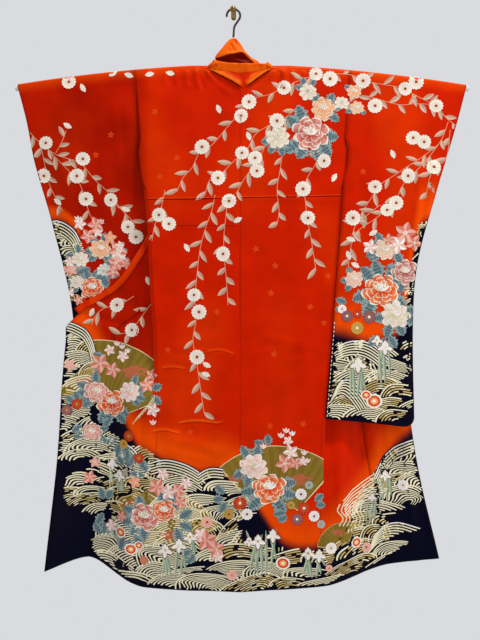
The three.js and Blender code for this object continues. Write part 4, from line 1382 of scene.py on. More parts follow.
def peony(across, down, radius, ink, paleInk, squash=0.92, heart="white"):
    at = onCloth(across, down)
    turn = chance.uniform(0, 60)
    for k, (scale, petals) in enumerate(((1, 8), (0.76, 7), (0.52, 6))):
        petalRing(at, radius * scale, petals, ink, paleInk, turn + 31 * k, squash, lifts["flower"] + 0.12 * k)
    for k in range(5):
        x, z = at
        leaf(
            (x, z - radius * 0.06), radius * 0.5, radius * 0.24, 38 + 26 * k, heart, "peonyCream",
            lift="top", steps=4)


lifts["top"] = lifts["flower"] + 0.36


def foliage(across, down, radius, turns, size=0.95):
    x, z = onCloth(across, down)
    for turn in turns:
        a = math.radians(turn)
        start = (x + 0.55 * radius * math.cos(a), z + 0.55 * radius * math.sin(a))
        leaf(start, radius * size * chance.uniform(0.95, 1.25), radius * 0.74, turn + chance.uniform(-14, 14),
             "leafBlue", "leafBluePale", lobes=4, steps=18)


# Peonies: place, radius in millimetres, colour, and the ways their leaves point.
peonies = table(
    "across down radius ink pale leaves",
    (308, 92, 28, "peonyCream", "white", (60, 120, 150)),
    (354, 92, 24, "peonyOrangePale", "peonyCream", (30, 150)),
    (357, 108, 22, "peonyCream", "peonyOrangePale", (330, 200)),
    (342, 103, 22, "peonyCream", "white", (200,)),
    (323, 109, 38, "peonyOrangePale", "peonyCream", (10, 50, 130, 320)),
    (278, 138, 36, "peonyCream", "white", (100, 200, 240, 290, 330)),
    (310, 134, 58, "peonyPink", "peonyPinkPale", (120, 150, 215, 250, 290, 320, 350)),
    (381, 290, 60, "peonyOrange", "peonyOrangePale", (60, 95, 130, 200, 230, 330)),
    (405, 272, 42, "peonyMauve", "peonyPinkPale", (120, 160, 220, 250)),
    (395, 315, 46, "peonyCream", "white", (20, 190, 240, 290, 340)),
    (354, 279, 28, "peonyPinkPale", "peonyCream", (190, 230, 120)),
    (385, 250, 36, "peonyCream", "peonyPinkPale", (110, 160, 190, 220)),
    (80, 259, 27, "peonyCream", "white", (100, 160, 200, 250)),
    (119, 257, 23, "peonyPinkPale", "white", (40, 340, 280)),
    (104, 270, 22, "leafBluePale", "white", (200, 240, 280, 320, 20, 60)),
    (77, 282, 22, "peonyCream", "white", (140, 200, 260)),
    (101, 249, 34, "peonyOrangePale", "peonyCream", (70, 130, 190, 230, 300, 340)),
    (92, 288, 40, "peonyOrange", "peonyOrangePale", (60, 20, 110, 160)),
    (97, 392, 40, "peonyPinkPale", "peonyPink", (100, 150, 190, 230)),
    (130, 392, 34, "peonyPinkPale", "white", (20, 60, 330, 300)),
    (112, 403, 46, "peonyOrange", "peonyOrangePale", (230, 260, 300, 330)),
    (92, 432, 32, "peonyPinkPale", "peonyPink", (20, 330, 200)),
    (164, 511, 40, "peonyOrange", "peonyOrangePale", (20, 60, 100)),
    (144, 517, 46, "peonyPink", "peonyPinkPale", (110, 150, 190, 230, 270)),
    (254, 467, 44, "peonyPinkPale", "white", (80, 120, 200, 240)),
    (269, 488, 54, "peonyOrange", "peonyOrangePale", (190, 230, 300, 340, 20)),
)
sprays = table(
    "across down radius leaves",
    (106, 506, 40, (80, 110, 250)), (128, 531, 44, (200, 240, 280, 320)), (172, 521, 44, (20, 340, 300)),
    (128, 470, 36, (60, 100, 140)), (150, 478, 36, (120, 160)), (104, 540, 36, (90, 120)),
    (198, 548, 36, (200, 240)), (122, 437, 40, (200, 250, 300)), (136, 452, 36, (240, 290)),
    (98, 266, 44, (20, 200, 250, 290, 330)), (112, 362, 40, (160, 200)), (146, 392, 36, (330, 20)),
    (230, 497, 36, (150, 190, 230)), (292, 512, 34, (180, 220)), (310, 505, 32, (0, 40)),
    (270, 452, 36, (100, 140)), (352, 306, 32, (150, 200)), (384, 330, 40, (230, 270, 310)),
    (80, 408, 36, (60, 100, 140)), (88, 423, 34, (200, 240)),
)
for row in sprays:
    foliage(row["across"], row["down"], row["radius"], row["leaves"])
for row in peonies:
    foliage(row["across"], row["down"], row["radius"], row["leaves"])
for row in peonies:
    peony(row["across"], row["down"], row["radius"], row["ink"], row["pale"])
stow()
print("peonies drawn")

# ---- smaller flowers ----
# Star flowers: five pointed petals, salmon or white.
stars = table(
    "across down radius ink",
    (405, 233, 34, "salmon"), (398, 245, 28, "white"), (414, 243, 26, "salmon"), (370, 247, 24, "white"),
    (389, 240, 20, "salmon"), (118, 250, 30, "salmon"), (116, 263, 26, "salmon"), (118, 255, 20, "white"),
    (96, 225, 26, "salmon"), (80, 224, 20, "white"), (98, 232, 18, "white"), (64, 270, 18, "salmon"),
    (72, 270, 20, "peonyPinkPale"), (88, 236, 24, "salmon"), (110, 238, 22, "peonyOrangePale"),
    (126, 264, 18, "salmon"), (70, 262, 18, "white"), (113, 272, 22, "salmon"), (66, 292, 18, "white"),
    (79, 300, 18, "salmon"), (120, 246, 16, "white"), (100, 363, 32, "salmon"), (113, 370, 26, "salmon"), (123, 356, 20, "white"),
    (110, 350, 18, "white"), (147, 385, 24, "salmon"), (153, 410, 22, "white"), (152, 375, 20, "salmon"),
    (70, 365, 20, "peonyPinkPale"), (157, 487, 28, "salmon"), (168, 492, 26, "white"), (178, 490, 24, "salmon"),
    (163, 474, 20, "white"), (186, 483, 20, "white"), (180, 502, 22, "salmon"), (206, 540, 34, "salmon"),
    (216, 549, 28, "salmon"), (200, 534, 20, "white"), (218, 557, 18, "white"), (285, 463, 30, "salmon"),
    (291, 452, 24, "white"), (288, 441, 16, "white"), (296, 463, 20, "salmon"), (303, 461, 16, "white"),
    (90, 477, 22, "salmon"), (95, 462, 18, "peonyPinkPale"), (135, 482, 20, "peonyOrangePale"),
    (112, 525, 20, "white"), (122, 516, 18, "salmon"),
)
for row in stars:
    x, z = onCloth(row["across"], row["down"])
    start = chance.uniform(0, 72)
    for k in range(5):
        leaf(
            (x, z), row["radius"], row["radius"] * 0.66, start + 72 * k, row["ink"], "peonyPinkPale",
            lift="top", steps=5)
    flower((x, z), row["radius"] * 0.2, 5, "cream", "gold", "gold", lift="top")

# White buds on short stalks.
budSprays = [(286, 433), (281, 438), (292, 436), (304, 455), (307, 463), (263, 449), (122, 349), (117, 346),
             (128, 353), (78, 221), (101, 224), (153, 425), (110, 527)]
for spot in budSprays:
    at = onCloth(*spot)
    for turn in (55, 90, 125):
        leaf(at, 17, 7, turn, "white", "peonyPinkPale", lift="top", steps=4)

# Round chrysanthemums: place, radius, petals' colour and heart.
mums = table(
    "across down radius ink heart",
    (77, 404, 17, "red", "gold"), (67, 410, 17, "mauve", "gold"), (129, 436, 17, "red", "gold"),
    (124, 444, 15, "gold", "outline"), (139, 458, 16, "red", "gold"), (229, 514, 16, "gold", "outline"),
    (240, 503, 21, "red", "white"), (247, 514, 18, "white", "outline"), (301, 494, 18, "white", "outline"),
    (304, 508, 19, "red", "white"), (297, 519, 18, "mauve", "white"), (314, 516, 17, "white", "outline"),
    (291, 505, 13, "gold", "outline"), (309, 485, 13, "leafBluePale", "outline"), (207, 522, 19, "peonyPinkPale", "red"),
    (232, 575, 17, "peonyPinkPale", "salmon"), (347, 316, 18, "mauve", "white"), (357, 314, 13, "red", "white"),
    (369, 317, 20, "mauve", "white"), (357, 328, 20, "gold", "white"), (331, 548, 18, "white", "gold"),
    (366, 547, 16, "peonyPinkPale", "outline"), (403, 485, 17, "white", "gold"), (321, 524, 13, "leafBluePale", "gold"),
    (342, 309, 14, "white", "petalLine"), (329, 568, 11, "peonyPinkPale", "red"), (144, 560, 13, "salmon", "gold"),
)
for row in mums:
    at = onCloth(row["across"], row["down"])
    pale = "gold" if row["ink"] in ("red", "mauve") else "petalLine"
    flower(at, row["radius"], 12, row["ink"], pale, row["heart"], turn=chance.uniform(0, 30), lift="top")


# Thick rings with a pale heart, like a chrysanthemum seen from the side.
def ringFlower(at, radius):
    x0, z0 = at
    bands = ("wave", "peonyOrangePale", "peonyOrange", "cream")

    def spot(u, v):
        angle = 2 * math.pi * u
        wobble = 1 + (0.05 * math.sin(9 * angle) if v > 0.9 else 0)
        return x0 + radius * v * wobble * math.cos(angle), z0 + radius * v * wobble * math.sin(angle) * 0.88

    patch(24, 4, spot, lambda u, v: inksAndPaintedLight[bands[min(3, int(v * 4))]], lifts["top"])


for across, down, radius in ((131, 549, 20), (121, 532, 18), (283, 563, 22), (374, 401, 25), (366, 395, 16),
                             (356, 542, 18), (139, 545, 14)):
    ringFlower(onCloth(across, down), radius)


irisGrowth = {"flower": 1.25, "blade": 1.1}


# Irises over sage blades.
def iris(across, down, size, bladePlaces):
    x, z = onCloth(across, down)
    size *= irisGrowth["flower"]
    for bladeAcross, bladeDown, width in bladePlaces:
        footX, footZ = onCloth(bladeAcross, bladeDown)
        tipX, tipZ = x + (footX - x) * 0.3 + chance.uniform(-12, 12), z + chance.uniform(-10, 22)
        turn = math.degrees(math.atan2(tipZ - footZ, tipX - footX))
        length = math.dist((footX, footZ), (tipX, tipZ))
        leaf((footX, footZ), length, width * irisGrowth["blade"], turn, "sage", "sagePale", steps=12, bend=chance.uniform(-0.08, 0.08))
    for outlineGrow, ink, lift in ((1.15, "outline", "flower"), (1, "white", "top")):
        for turn, scale in ((90, 0.8), (55, 0.6), (125, 0.6), (-20, 1), (200, 1), (-90, 1)):
            leaf(
                (x, z), size * scale * outlineGrow, size * 0.5 * outlineGrow, turn, ink,
                "outline" if ink == "outline" else "cream", lift=lift, steps=5)
    flower((x, z), size * 0.2, 5, "gold", "gold", "gold", lift="top")


irises = [
    (358, 364, 22, [(350, 398, 9), (354, 401, 9), (357, 400, 10), (362, 398, 9), (366, 392, 8)]),
    (385, 347, 20, [(377, 383, 9), (381, 386, 10), (385, 384, 10), (390, 378, 8)]),
    (377, 340, 15, []),
    (113, 463, 17, [(110, 490, 8), (114, 492, 9)]),
    (120, 475, 17, [(118, 494, 8), (123, 492, 8)]),
    (165, 550, 20, [(163, 576, 9), (168, 579, 9), (172, 578, 9)]),
    (179, 545, 20, [(175, 579, 9), (181, 577, 9), (186, 572, 9)]),
    (190, 537, 17, [(190, 560, 8), (195, 556, 8)]),
    (258, 541, 20, [(250, 573, 10), (254, 577, 9), (258, 576, 10), (262, 575, 9)]),
    (273, 535, 19, [(266, 575, 9), (271, 570, 9), (276, 560, 8)]),
    (249, 541, 14, [(246, 530, 6)]),
    (308, 553, 18, [(303, 574, 9), (308, 577, 9), (312, 578, 9)]),
    (319, 555, 18, [(316, 578, 9), (321, 574, 9), (325, 566, 8)]),
    (385, 475, 16, [(379, 502, 8), (383, 506, 9), (387, 504, 9), (391, 496, 8)]),
    (372, 497, 12, [(366, 524, 7), (369, 528, 8), (374, 522, 7)]),
]
for across, down, size, blades in irises:
    iris(across, down, size, blades)
stow()
print("irises and small flowers drawn")


# ---- fans ----
def fan(across, down, inner, outer, start, end, limit, ink="fan"):
    x0, z0 = onCloth(across, down)
    xLimit = onCloth(limit, down)[0]
    columns, rows, ribs = 78, 30, 26

    def squeeze(t, count):
        step = round(t * count)
        if step == 0 or step == count:
            return step / count
        return lerp(0.012, 0.988, (step - 1) / (count - 2))

    def spot(u, v):
        angle = math.radians(lerp(start, end, squeeze(u, columns)))
        reach = lerp(inner, outer, squeeze(v, rows))
        return min(xLimit - 2.4, x0 + reach * math.cos(angle)), z0 + reach * math.sin(angle)

    def tone(u, v):
        if u < 1 / columns or u > 1 - 1 / columns or v < 1 / rows or v > 1 - 1 / rows:
            return inksAndPaintedLight["fanLine"]
        rib = int(u * ribs) % 2
        return mixed(inksAndPaintedLight[ink], inksAndPaintedLight["black"], 0.16 * rib)

    patch(columns, rows, spot, tone, lifts["ground"], lambda x, z: x < xLimit - 2.6)


def cloud(across, down, radius):
    x0, z0 = onCloth(across, down)

    def spot(u, v):
        angle = 2 * math.pi * u
        reach = radius * v * (1 + 0.16 * math.sin(5 * angle) + 0.06 * math.sin(9 * angle + 1))
        return x0 + 1.5 * reach * math.cos(angle), z0 + 0.7 * reach * math.sin(angle)

    patch(30, 3, spot, plain("cloud"), lifts["line"])


fans = [
    (100, 424, 60, 262, 97, 22, 153), (99, 408, 20, 128, 158, 100, 153), (277, 532, 90, 262, 132, 47, 324.2),
    (157, 560, 50, 212, 128, 28, 240), (345, 550, 22, 86, 172, 62, 400),
]
for fanPlace in fans:
    fan(*fanPlace)
for across, down, radius in ((135, 372, 26), (88, 382, 24), (300, 480, 24), (236, 478, 16), (130, 505, 22),
                             (170, 535, 20), (338, 532, 12)):
    cloud(across, down, radius)

# Folded-back fan leaf with open stripes.
for k in range(7):
    places = [(133 + 3.0 * k, 424 - 3 * k), (140 + 2.4 * k, 414 - 2.6 * k), (149 + 0.9 * k, 405 - 1.6 * k)]
    ribbon(smoothPath([onCloth(*spot) for spot in places], 8), 1.8, plain("fanLine"), "detail")


# Open stripes of the wave's crest, running out over the orange.
for k in range(7):
    for places in (
            [(374, 474 + 3.4 * k), (362, 482 + 3.4 * k), (351, 491 + 3.2 * k), (343 + 0.4 * k, 501 + 2.6 * k)],
            [(340 + 3.6 * k, 504), (337.5 + 3.7 * k, 511), (343 + 3.4 * k, 518), (339 + 3.8 * k, 526)]):
        ribbon(smoothPath([onCloth(*spot) for spot in places], 8), 3.4, plain("wave"), "line")

# ---- waves: overlapping hills of curved lines on the dark ground ----
waves = {
    "spacing": 9.2,
    "line": 4.3,
    "acrossStep": 118,
    "downStep": 42,
    "radius": 94,
    "squash": 0.66,
    "wander": 24,
    "curl": 9,
    "curlLength": 12,
    "white": 0.45,
    "curled": 0.62,
}


def insideOf(outline):
    def inside(x, z):
        found = False
        for (x0, z0), (x1, z1) in zip(outline, outline[1:] + outline[:1]):
            if (z0 > z) != (z1 > z) and x < x0 + (z - z0) * (x1 - x0) / (z1 - z0):
                found = not found
        return found

    return inside


def bent(x, z):
    push = noise.noise_vector(Vector((x / 150, z / 110, 3)))
    return x + waves["wander"] * push.x, z + waves["wander"] * push.y


def drawWaves(places, seed, radius=waves["radius"]):
    outline = smoothPath([onCloth(*spot) for spot in places + places[:1]], 14)[:-1]
    inside = insideOf(outline)
    toss = random.Random(seed)
    xs, zs = [spot[0] for spot in outline], [spot[1] for spot in outline]
    scale = radius / waves["radius"]
    hills = []
    line = 0
    z = max(zs) + 10
    while z > min(zs) - radius:
        x = min(xs) - radius + (line % 2) * waves["acrossStep"] * scale / 2
        while x < max(xs) + radius:
            size = radius * toss.uniform(0.82, 1.18)
            hills.append((
                x + toss.uniform(-14, 14) * scale, z - size * 0.5 + toss.uniform(-9, 9) * scale, size,
                toss.uniform(-0.45, 0.45), toss.random()))
            x += waves["acrossStep"] * scale
        z -= waves["downStep"] * scale
        line += 1

    def inHill(hill, x, z):
        hillX, hillZ, size, lean, _ = hill
        up = (z - hillZ) / waves["squash"]
        return (x - hillX - lean * up) ** 2 + up ** 2 < size ** 2 and up > -0.5 * size

    for i, hill in enumerate(hills):
        hillX, hillZ, size, lean, mood = hill
        later = [
            other for other in hills[i + 1:]
            if abs(other[0] - hillX) < 2.2 * radius and abs(other[1] - hillZ) < 2.2 * radius]
        count = int(size / waves["spacing"])
        for k in range(count):
            reach = size - k * waves["spacing"]
            columns = max(6, int(reach * 2.6 / 9))
            outerLine = k == 0
            width = waves["line"] * (1.15 if outerLine else 1)
            dashes = [toss.random() for _ in range(columns)]

            def spot(u, v):
                angle = math.radians(lerp(-24, 204, u))
                out = reach - v * width * lerp(0.5, 1.1, math.sin(math.pi * u))
                up = out * math.sin(angle)
                x = hillX + out * math.cos(angle) + lean * up
                if mood > waves["curled"]:
                    x += waves["curl"] * math.sin(up / waves["curlLength"]) * smoothstep(size - reach, 0, 20)
                return bent(x, hillZ + waves["squash"] * up)

            def tone(u, v):
                dash = dashes[min(columns - 1, int(u * columns))]
                if outerLine or mood > waves["white"]:
                    return inksAndPaintedLight["wave"]
                if dash < 0.16:
                    return inksAndPaintedLight["black"]
                return inksAndPaintedLight["waveGold"] if dash < 0.75 else inksAndPaintedLight["wave"]

            def keep(x, z):
                return inside(x, z) and not any(inHill(other, x, z) for other in later)

            if inside(hillX, hillZ + 0.5 * size) or inside(hillX - 0.5 * size, hillZ) or inside(
                    hillX + 0.5 * size, hillZ) or inside(hillX, hillZ):
                patch(columns, 1, spot, tone, lifts["line"], keep)
    stow()


waveRegions = [
    ([(47, 221), (62, 222), (74, 229), (80, 242), (86, 262), (78, 290), (70, 310), (58, 270)], 11, 74),
    ([(66, 323), (82, 330), (94, 346), (96, 380), (92, 420), (120, 438), (134, 452), (110, 460), (92, 457),
      (56, 455), (60, 405), (63, 370)], 12, 84),
    ([(64, 480), (78, 470), (100, 472), (108, 500), (96, 514), (80, 512), (66, 500)], 13, 70),
    ([(96, 458), (136, 446), (167, 464), (199, 474), (220, 470), (246, 492), (262, 508), (236, 525), (262, 545),
      (290, 548), (326, 549), (346, 528), (352, 505), (368, 480), (378, 466), (386, 455), (394, 448), (404, 444), (414, 442), (418, 470), (423, 498),
      (400, 510), (384, 521), (423, 527), (402, 546), (372, 564), (338, 577), (322, 584), (240, 592), (219, 591.5),
      (145, 582), (112, 566), (93, 547), (98, 530), (112, 520), (106, 495)], 14, 94),
    ([(336, 342), (345, 345), (360, 340), (376, 345), (398, 342), (414, 345), (411, 382), (402, 386), (414, 392),
      (412, 404), (404, 416), (388, 420.5), (331.5, 417.5), (334, 380)], 15, 84),
    ([(418, 225), (428, 222), (424, 245), (417, 268), (413, 300), (408, 330), (404, 300), (412, 262)], 16, 74),
]
# Crests of whole lines where the waves meet the orange, each over a strip of dark ground.
crests = table(
    "places count across down taper",
    ([(415, 441.5), (404, 443), (394, 447.5), (386, 454.5), (380, 464), (375, 476)], 5, 0.9, 2.6, 0),
    ([(151, 463), (160, 460.5), (170, 460.5), (180, 463), (190, 467), (199, 472.5)], 5, 0.0, 2.8, 0),
    ([(198, 475), (206, 470), (214, 468.5), (223, 469.5)], 4, 0.2, 2.8, 0),
    ([(373, 537), (382, 527.5), (392, 523), (404, 523.5), (420, 528.5)], 7, -0.8, 2.6, 0.08),
    ([(48, 221.5), (57, 221), (67, 225), (75, 232), (80, 242)], 5, -0.9, 2.7, 0),
    ([(67, 323), (76, 325), (86, 331), (92, 341), (95, 352)], 4, -1.1, 2.4, 0),
    ([(114, 440), (124, 443), (133, 449), (140, 458)], 4, -1.6, 2.4, 0),
    ([(339, 346.5), (347, 342.5), (357, 341), (368, 343), (379, 350), (389, 361)], 6, -0.6, 2.7, 0.03),
    ([(336, 389), (341, 382), (348, 380), (355, 385), (362, 394), (369, 405)], 6, -1.1, 2.6, 0.04),
)
pixel = (-eye.y / mm - cloth["rodDepth"]) / view["focal"]
for crest in crests:
    strip = 1.15 * math.hypot(crest["across"], crest["down"]) * pixel
    for k in range(crest["count"]):
        shifted = [(x + crest["across"] * k, y + crest["down"] * k) for x, y in crest["places"]]
        path = smoothPath([onCloth(*spot) for spot in shifted], 6)
        path = path[:round(len(path) * (1 - crest["taper"] * k))]
        ribbon(path, strip, lambda u, v: dyesAndPaintedLight["navy"], "crestGround")
        ribbon(path, 3.6, plain("wave" if k else "white"), "crest")


for places, seed, radius in waveRegions:
    drawWaves(places, seed, radius)
print("fans and waves drawn")

# Woven cherries, hardly brighter than the ground.
wovenPlaces = [
    (111, 135), (96, 155), (155, 112), (160, 177), (177, 158), (256, 249), (275, 266), (328, 276), (271, 293),
    (310, 307), (274, 354), (303, 424), (270, 426), (324, 323), (217, 312), (363, 172), (190, 432), (168, 350),
]
for spot in wovenPlaces:
    at = onCloth(*spot)
    start = chance.uniform(0, 72)
    for k in range(5):
        leaf(at, 11, 6.5, start + 72 * k, "woven", "woven", lift="ground", steps=4)

# Basting stitches along the right sleeve's free edge.
for k in range(24):
    down = 322 + 4.2 * k
    across = lerp(333.6, 325.8, k / 23)
    x, z = onCloth(across + 1.0, down)
    ribbon([(x, z), (x - 0.6, z - 7)], 1.8, plain("cream"), "detail")
stow()


# Lays the drawn motifs on the cloth along y, and keeps the faces that lie on one panel.
def layPrint(fromY, direction, tree, panelOf, suffix, wanted):
    bm = bmesh.new()
    for mesh in stowed:
        bm.from_mesh(mesh)
    liftLayer = bm.verts.layers.float["lift"]
    found = {}
    for vert in bm.verts:
        hit, normal, index, _ = tree.ray_cast(Vector((vert.co.x * mm, fromY, vert.co.z * mm)), direction)
        if hit is None:
            continue
        if normal.dot(direction) > 0:
            normal = -normal
        found[vert] = panelOf[index]
        vert.co = hit + normal * (cloth["wall"] / 2 + vert[liftLayer]) * mm
    bm.faces.index_update()
    faceNames = []
    for face in bm.faces:
        names = [found.get(vert) for vert in face.verts]
        spanY = max(vert.co.y for vert in face.verts) - min(vert.co.y for vert in face.verts)
        allowed = 0.012 if len(set(names)) == 1 else 0.0035
        faceNames.append(max(names, key=names.count) if None not in names and spanY < allowed else None)
    whole = bpy.data.meshes.new("print")
    bm.to_mesh(whole)
    bm.free()
    for panel in wanted:
        part = bmesh.new()
        part.from_mesh(whole)
        part.faces.ensure_lookup_table()
        others = [face for face, name in zip(part.faces, faceNames) if name != panel]
        bmesh.ops.delete(part, geom=others, context="FACES")
        for face in part.faces:
            face.smooth = True
            face.normal_update()
            if face.normal.dot(direction) > 0:
                face.normal_flip()
        mesh = bpy.data.meshes.new("print" + panel + suffix)
        part.to_mesh(mesh)
        part.free()
        mesh.materials.append(printMaterial)
        made = bpy.data.objects.new("print" + panel[0].upper() + panel[1:] + suffix, mesh)
        bpy.context.collection.objects.link(made)
        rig.ride(made, "root")
        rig.slot(made, "silk")
        prints.setdefault(panel, []).append(made)
        print(made.name, len(mesh.polygons), "faces")
    bpy.data.meshes.remove(whole)


# The print's colour attribute also carries the painted shade and highlights of the small folds and the waist tuck.
printMaterial = silkMaterial("printedSilkWithPaintedLight", "dyeAndPaintedLight", 0.5, 0.05)
prints = {}
layPrint(
    -1.0, Vector((0, 1, 0)), clothTree, treePanels, "",
    ["bodyLeft", "bodyRight", "okumiLeft", "okumiRight", "sleeveLeft", "sleeveRight"])
sleeveFaces = [face for face, name in zip(treeFaces, treePanels) if name.startswith("sleeve")]
sleeveNames = [name for name in treePanels if name.startswith("sleeve")]
layPrint(
    0.2, Vector((0, -1, 0)), BVHTree.FromPolygons(treePoints, sleeveFaces), sleeveNames, "Back",
    ["sleeveLeft", "sleeveRight"])

# ---- what each sheet was cut from, in metres ----
cuts = table(
    "name node flat area held rests",
    ("bodyLeft", "body_left", (0.30, 3.20), None, "hung", ["hanger_arm_left"]),
    ("bodyRight", "body_right", (0.30, 3.20), None, "hung", ["hanger_arm_right"]),
    ("okumiLeft", "okumi_left", (0.15, 1.30), 0.17, "hung", ["bodyLeft"]),
    ("okumiRight", "okumi_right", (0.15, 1.30), 0.17, "hung", ["bodyRight"]),
    ("sleeveLeft", "sleeve_left", (0.35, 2.12), None, "hung", ["hanger_arm_left"]),
    ("sleeveRight", "sleeve_right", (0.35, 2.12), None, "hung", ["hanger_arm_right"]),
    ("collar", "collar", (0.04, 1.90), None, "folded", ["bodyLeft", "bodyRight"]),
    ("collarInner", "collar_inner", (0.145, 0.078), 0.0066, "folded", ["hanger_hook"]),
)
for cut in cuts:
    made = panels[cut["name"]]
    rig.replaces(made, cut["node"])
    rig.sheet(
        made, flat=cut["flat"], held=cut["held"], rests_on=cut["rests"], area=cut["area"],
        with_pieces=prints.get(cut["name"], []))

# ---- hanger and wall hook ----
hardware = {"armInk": (233, 228, 218), "hookInk": (52, 14, 28), "brassInk": (150, 116, 52), "ball": 9.5}


def hardMaterial(name, ink, roughness, metallic, wearScale, coat=0.0):
    made, shader = newMaterial(name, Metallic=metallic, Coat_Weight=coat)
    links = made.node_tree.links
    spot = addNode(made, "ShaderNodeTexCoord")
    wear = addNode(
        made, "ShaderNodeTexNoise",
        [("Vector", spot.outputs["Object"]), ("Scale", wearScale), ("Detail", 5.0)])
    rub = addNode(
        made, "ShaderNodeMapRange",
        [("Value", wear.outputs["Fac"]), ("To Min", roughness - 0.12), ("To Max", roughness + 0.15)])
    links.new(rub.outputs["Result"], shader.inputs["Roughness"])
    shade = addNode(
        made, "ShaderNodeMix",
        [(6, srgb(*ink)), (7, tuple(0.6 * part for part in srgb(*ink)[:3]) + (1,)), (0, wear.outputs["Fac"])],
        data_type="RGBA")
    links.new(shade.outputs[2], shader.inputs["Base Color"])
    bump = addNode(
        made, "ShaderNodeBump", [("Height", wear.outputs["Fac"]), ("Strength", 0.3), ("Distance", 0.0004)])
    links.new(bump.outputs["Normal"], shader.inputs["Normal"])
    return made


hangerMaterial = hardMaterial("hangerPaint", hardware["armInk"], 0.4, 0.0, 60)
hookMaterial = hardMaterial("hookLacquer", hardware["hookInk"], 0.35, 0.0, 140, coat=0.1)
brassMaterial = hardMaterial("brassMetal", hardware["brassInk"], 0.3, 1.0, 180)
threadMaterial = hardMaterial("loopThread", (242, 239, 232), 0.8, 0.0, 900)
for nodeName, made in (
        ("hanger_arm_left", hangerMaterial), ("hanger_arm_right", hangerMaterial), ("hanger_hub", hangerMaterial)):
    frame["nodes"][nodeName].data.materials.clear()
    frame["nodes"][nodeName].data.materials.append(made)


# A bar of round wire through points in millimetres, with its ends closed.
def wire(name, points, radius, made, slotName, node, closed=False):
    curve = bpy.data.curves.new(name, "CURVE")
    curve.dimensions = "3D"
    curve.bevel_depth = radius * mm
    curve.bevel_resolution = 5
    curve.resolution_u = 10
    curve.use_fill_caps = True
    spline = curve.splines.new("NURBS")
    spline.points.add(len(points) - 1)
    for point, (x, depth, z) in zip(spline.points, points):
        point.co = (x * mm, -depth * mm, z * mm, 1)
    spline.use_cyclic_u = closed
    spline.use_endpoint_u = not closed
    spline.order_u = 4
    curve.materials.append(made)
    piece = bpy.data.objects.new(name, curve)
    bpy.context.collection.objects.link(piece)
    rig.ride(piece, "root")
    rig.slot(piece, slotName)
    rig.replaces(piece, node)
    return piece


hookCentreZ, hookRadius, rodDepth = -27.5, 21, cloth["rodDepth"]
hookPoints = []
for degrees in range(188, -41, -19):
    a = math.radians(degrees)
    hookPoints.append((hookRadius * math.cos(a), rodDepth, hookCentreZ + hookRadius * math.sin(a)))
hookPoints += [(5, rodDepth, -56), (0, rodDepth, -66), (0, rodDepth, -122), (0, rodDepth, rodZ(0) + 8.3)]
wire("hangerHook", hookPoints, 3.3, hookMaterial, "hook", "hanger_hook")
loopPoints = []
for k in range(16):
    a = 2 * math.pi * k / 16
    loopPoints.append((5.6 * math.cos(a), rodDepth + 6.6 * math.sin(a), -92.3 - 7.2 * math.sin(a)))
wire("hangingLoop", loopPoints, 1.2, threadMaterial, "thread", "hanging_loop", closed=True)
wire(
    "wallHook",
    [(0, 3.3, -14), (0, 14, -14), (0, 30, -17.5), (0, rodDepth, -13.6), (0, 54, -14), (0, 61, -16)],
    3.4, brassMaterial, "brass", "wall_hook")


# The hook's ball end.
def ball():
    bm = bmesh.new()
    bmesh.ops.create_uvsphere(bm, u_segments=28, v_segments=18, radius=hardware["ball"] * mm)
    for face in bm.faces:
        face.smooth = True
    for vert in bm.verts:
        vert.co += Vector((-1 * mm, -62 * mm, -17 * mm))
    mesh = bpy.data.meshes.new("wallHookBall")
    bm.to_mesh(mesh)
    bm.free()
    mesh.materials.append(brassMaterial)
    made = bpy.data.objects.new("wallHookBall", mesh)
    bpy.context.collection.objects.link(made)
    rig.ride(made, "root")
    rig.slot(made, "brass")


ball()
plate = frame["nodes"]["wall_plate"]
plate.data.materials.clear()
plate.data.materials.append(brassMaterial)
print("hanger and wall hook done")

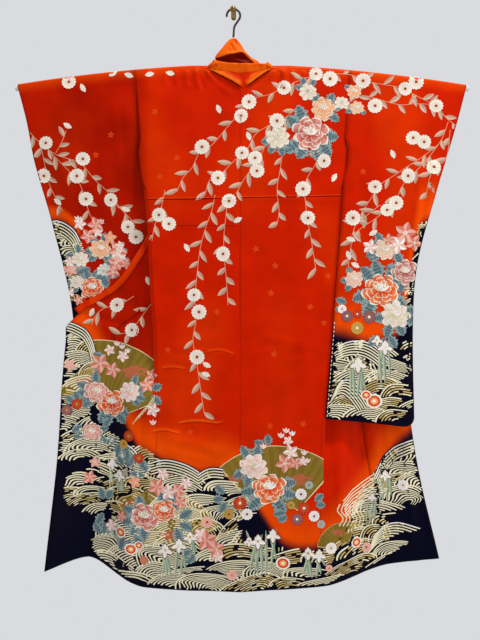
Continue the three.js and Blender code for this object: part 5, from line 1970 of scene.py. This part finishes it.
# ---- floor, light and camera ----
studio = {
    "floorZ": -1.98,
    "floorInk": (214, 214, 216),
    "airInk": (217, 219, 222),
    "airStrength": 1.0,
    "keyPower": 95,
    "fillPower": 16,
}


def floor():
    bm = bmesh.new()
    bmesh.ops.create_grid(bm, x_segments=8, y_segments=8, size=1.5)
    mesh = bpy.data.meshes.new("floor")
    bm.to_mesh(mesh)
    bm.free()
    mesh.materials.append(hardMaterial("floorPaint", studio["floorInk"], 0.8, 0.0, 3))
    made = bpy.data.objects.new("floor", mesh)
    bpy.context.collection.objects.link(made)
    made.location = (0, -1.5, studio["floorZ"])
    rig.stage(made)


def areaLight(name, location, target, size, power, ink=(255, 255, 255)):
    light = bpy.data.lights.new(name, "AREA")
    light.shape = "DISK"
    light.size = size
    light.energy = power
    light.color = srgb(*ink)[:3]
    made = bpy.data.objects.new(name, light)
    bpy.context.collection.objects.link(made)
    made.location = location
    aim = Vector(target) - Vector(location)
    made.rotation_mode = "QUATERNION"
    made.rotation_quaternion = aim.to_track_quat("-Z", "Y")
    made.visible_camera = False
    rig.stage(made)


floor()
areaLight("keyLight", (0.9, -1.3, 2.6), (0, 0, -1.0), 0.9, studio["keyPower"])
areaLight("fillLight", (1.9, -1.5, -2.0), (0, 0, -1.2), 1.2, studio["fillPower"])
world = bpy.data.worlds.new("air")
world.use_nodes = True
background = world.node_tree.nodes["Background"]
background.inputs["Color"].default_value = srgb(*studio["airInk"])
background.inputs["Strength"].default_value = studio["airStrength"]
bpy.context.scene.world = world
bpy.context.scene.view_settings.view_transform = "Standard"

camera = bpy.data.cameras.new("camera")
camera.sensor_width = view["sensor"]
camera.lens = view["sensor"] * view["focal"] / view["height"]
cameraObject = bpy.data.objects.new("camera", camera)
cameraObject.location = eye
cameraObject.rotation_euler = (math.radians(90), 0, 0)
bpy.context.collection.objects.link(cameraObject)
bpy.context.scene.camera = cameraObject
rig.stage(cameraObject)

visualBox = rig.bounds()
with open("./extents.json", "w") as sizes:
    json.dump({
        "cad": [[round(value, 5) for value in corner] for corner in cadBox],
        "visual": [[round(value, 5) for value in corner] for corner in visualBox],
    }, sizes)
print("sizes kept")
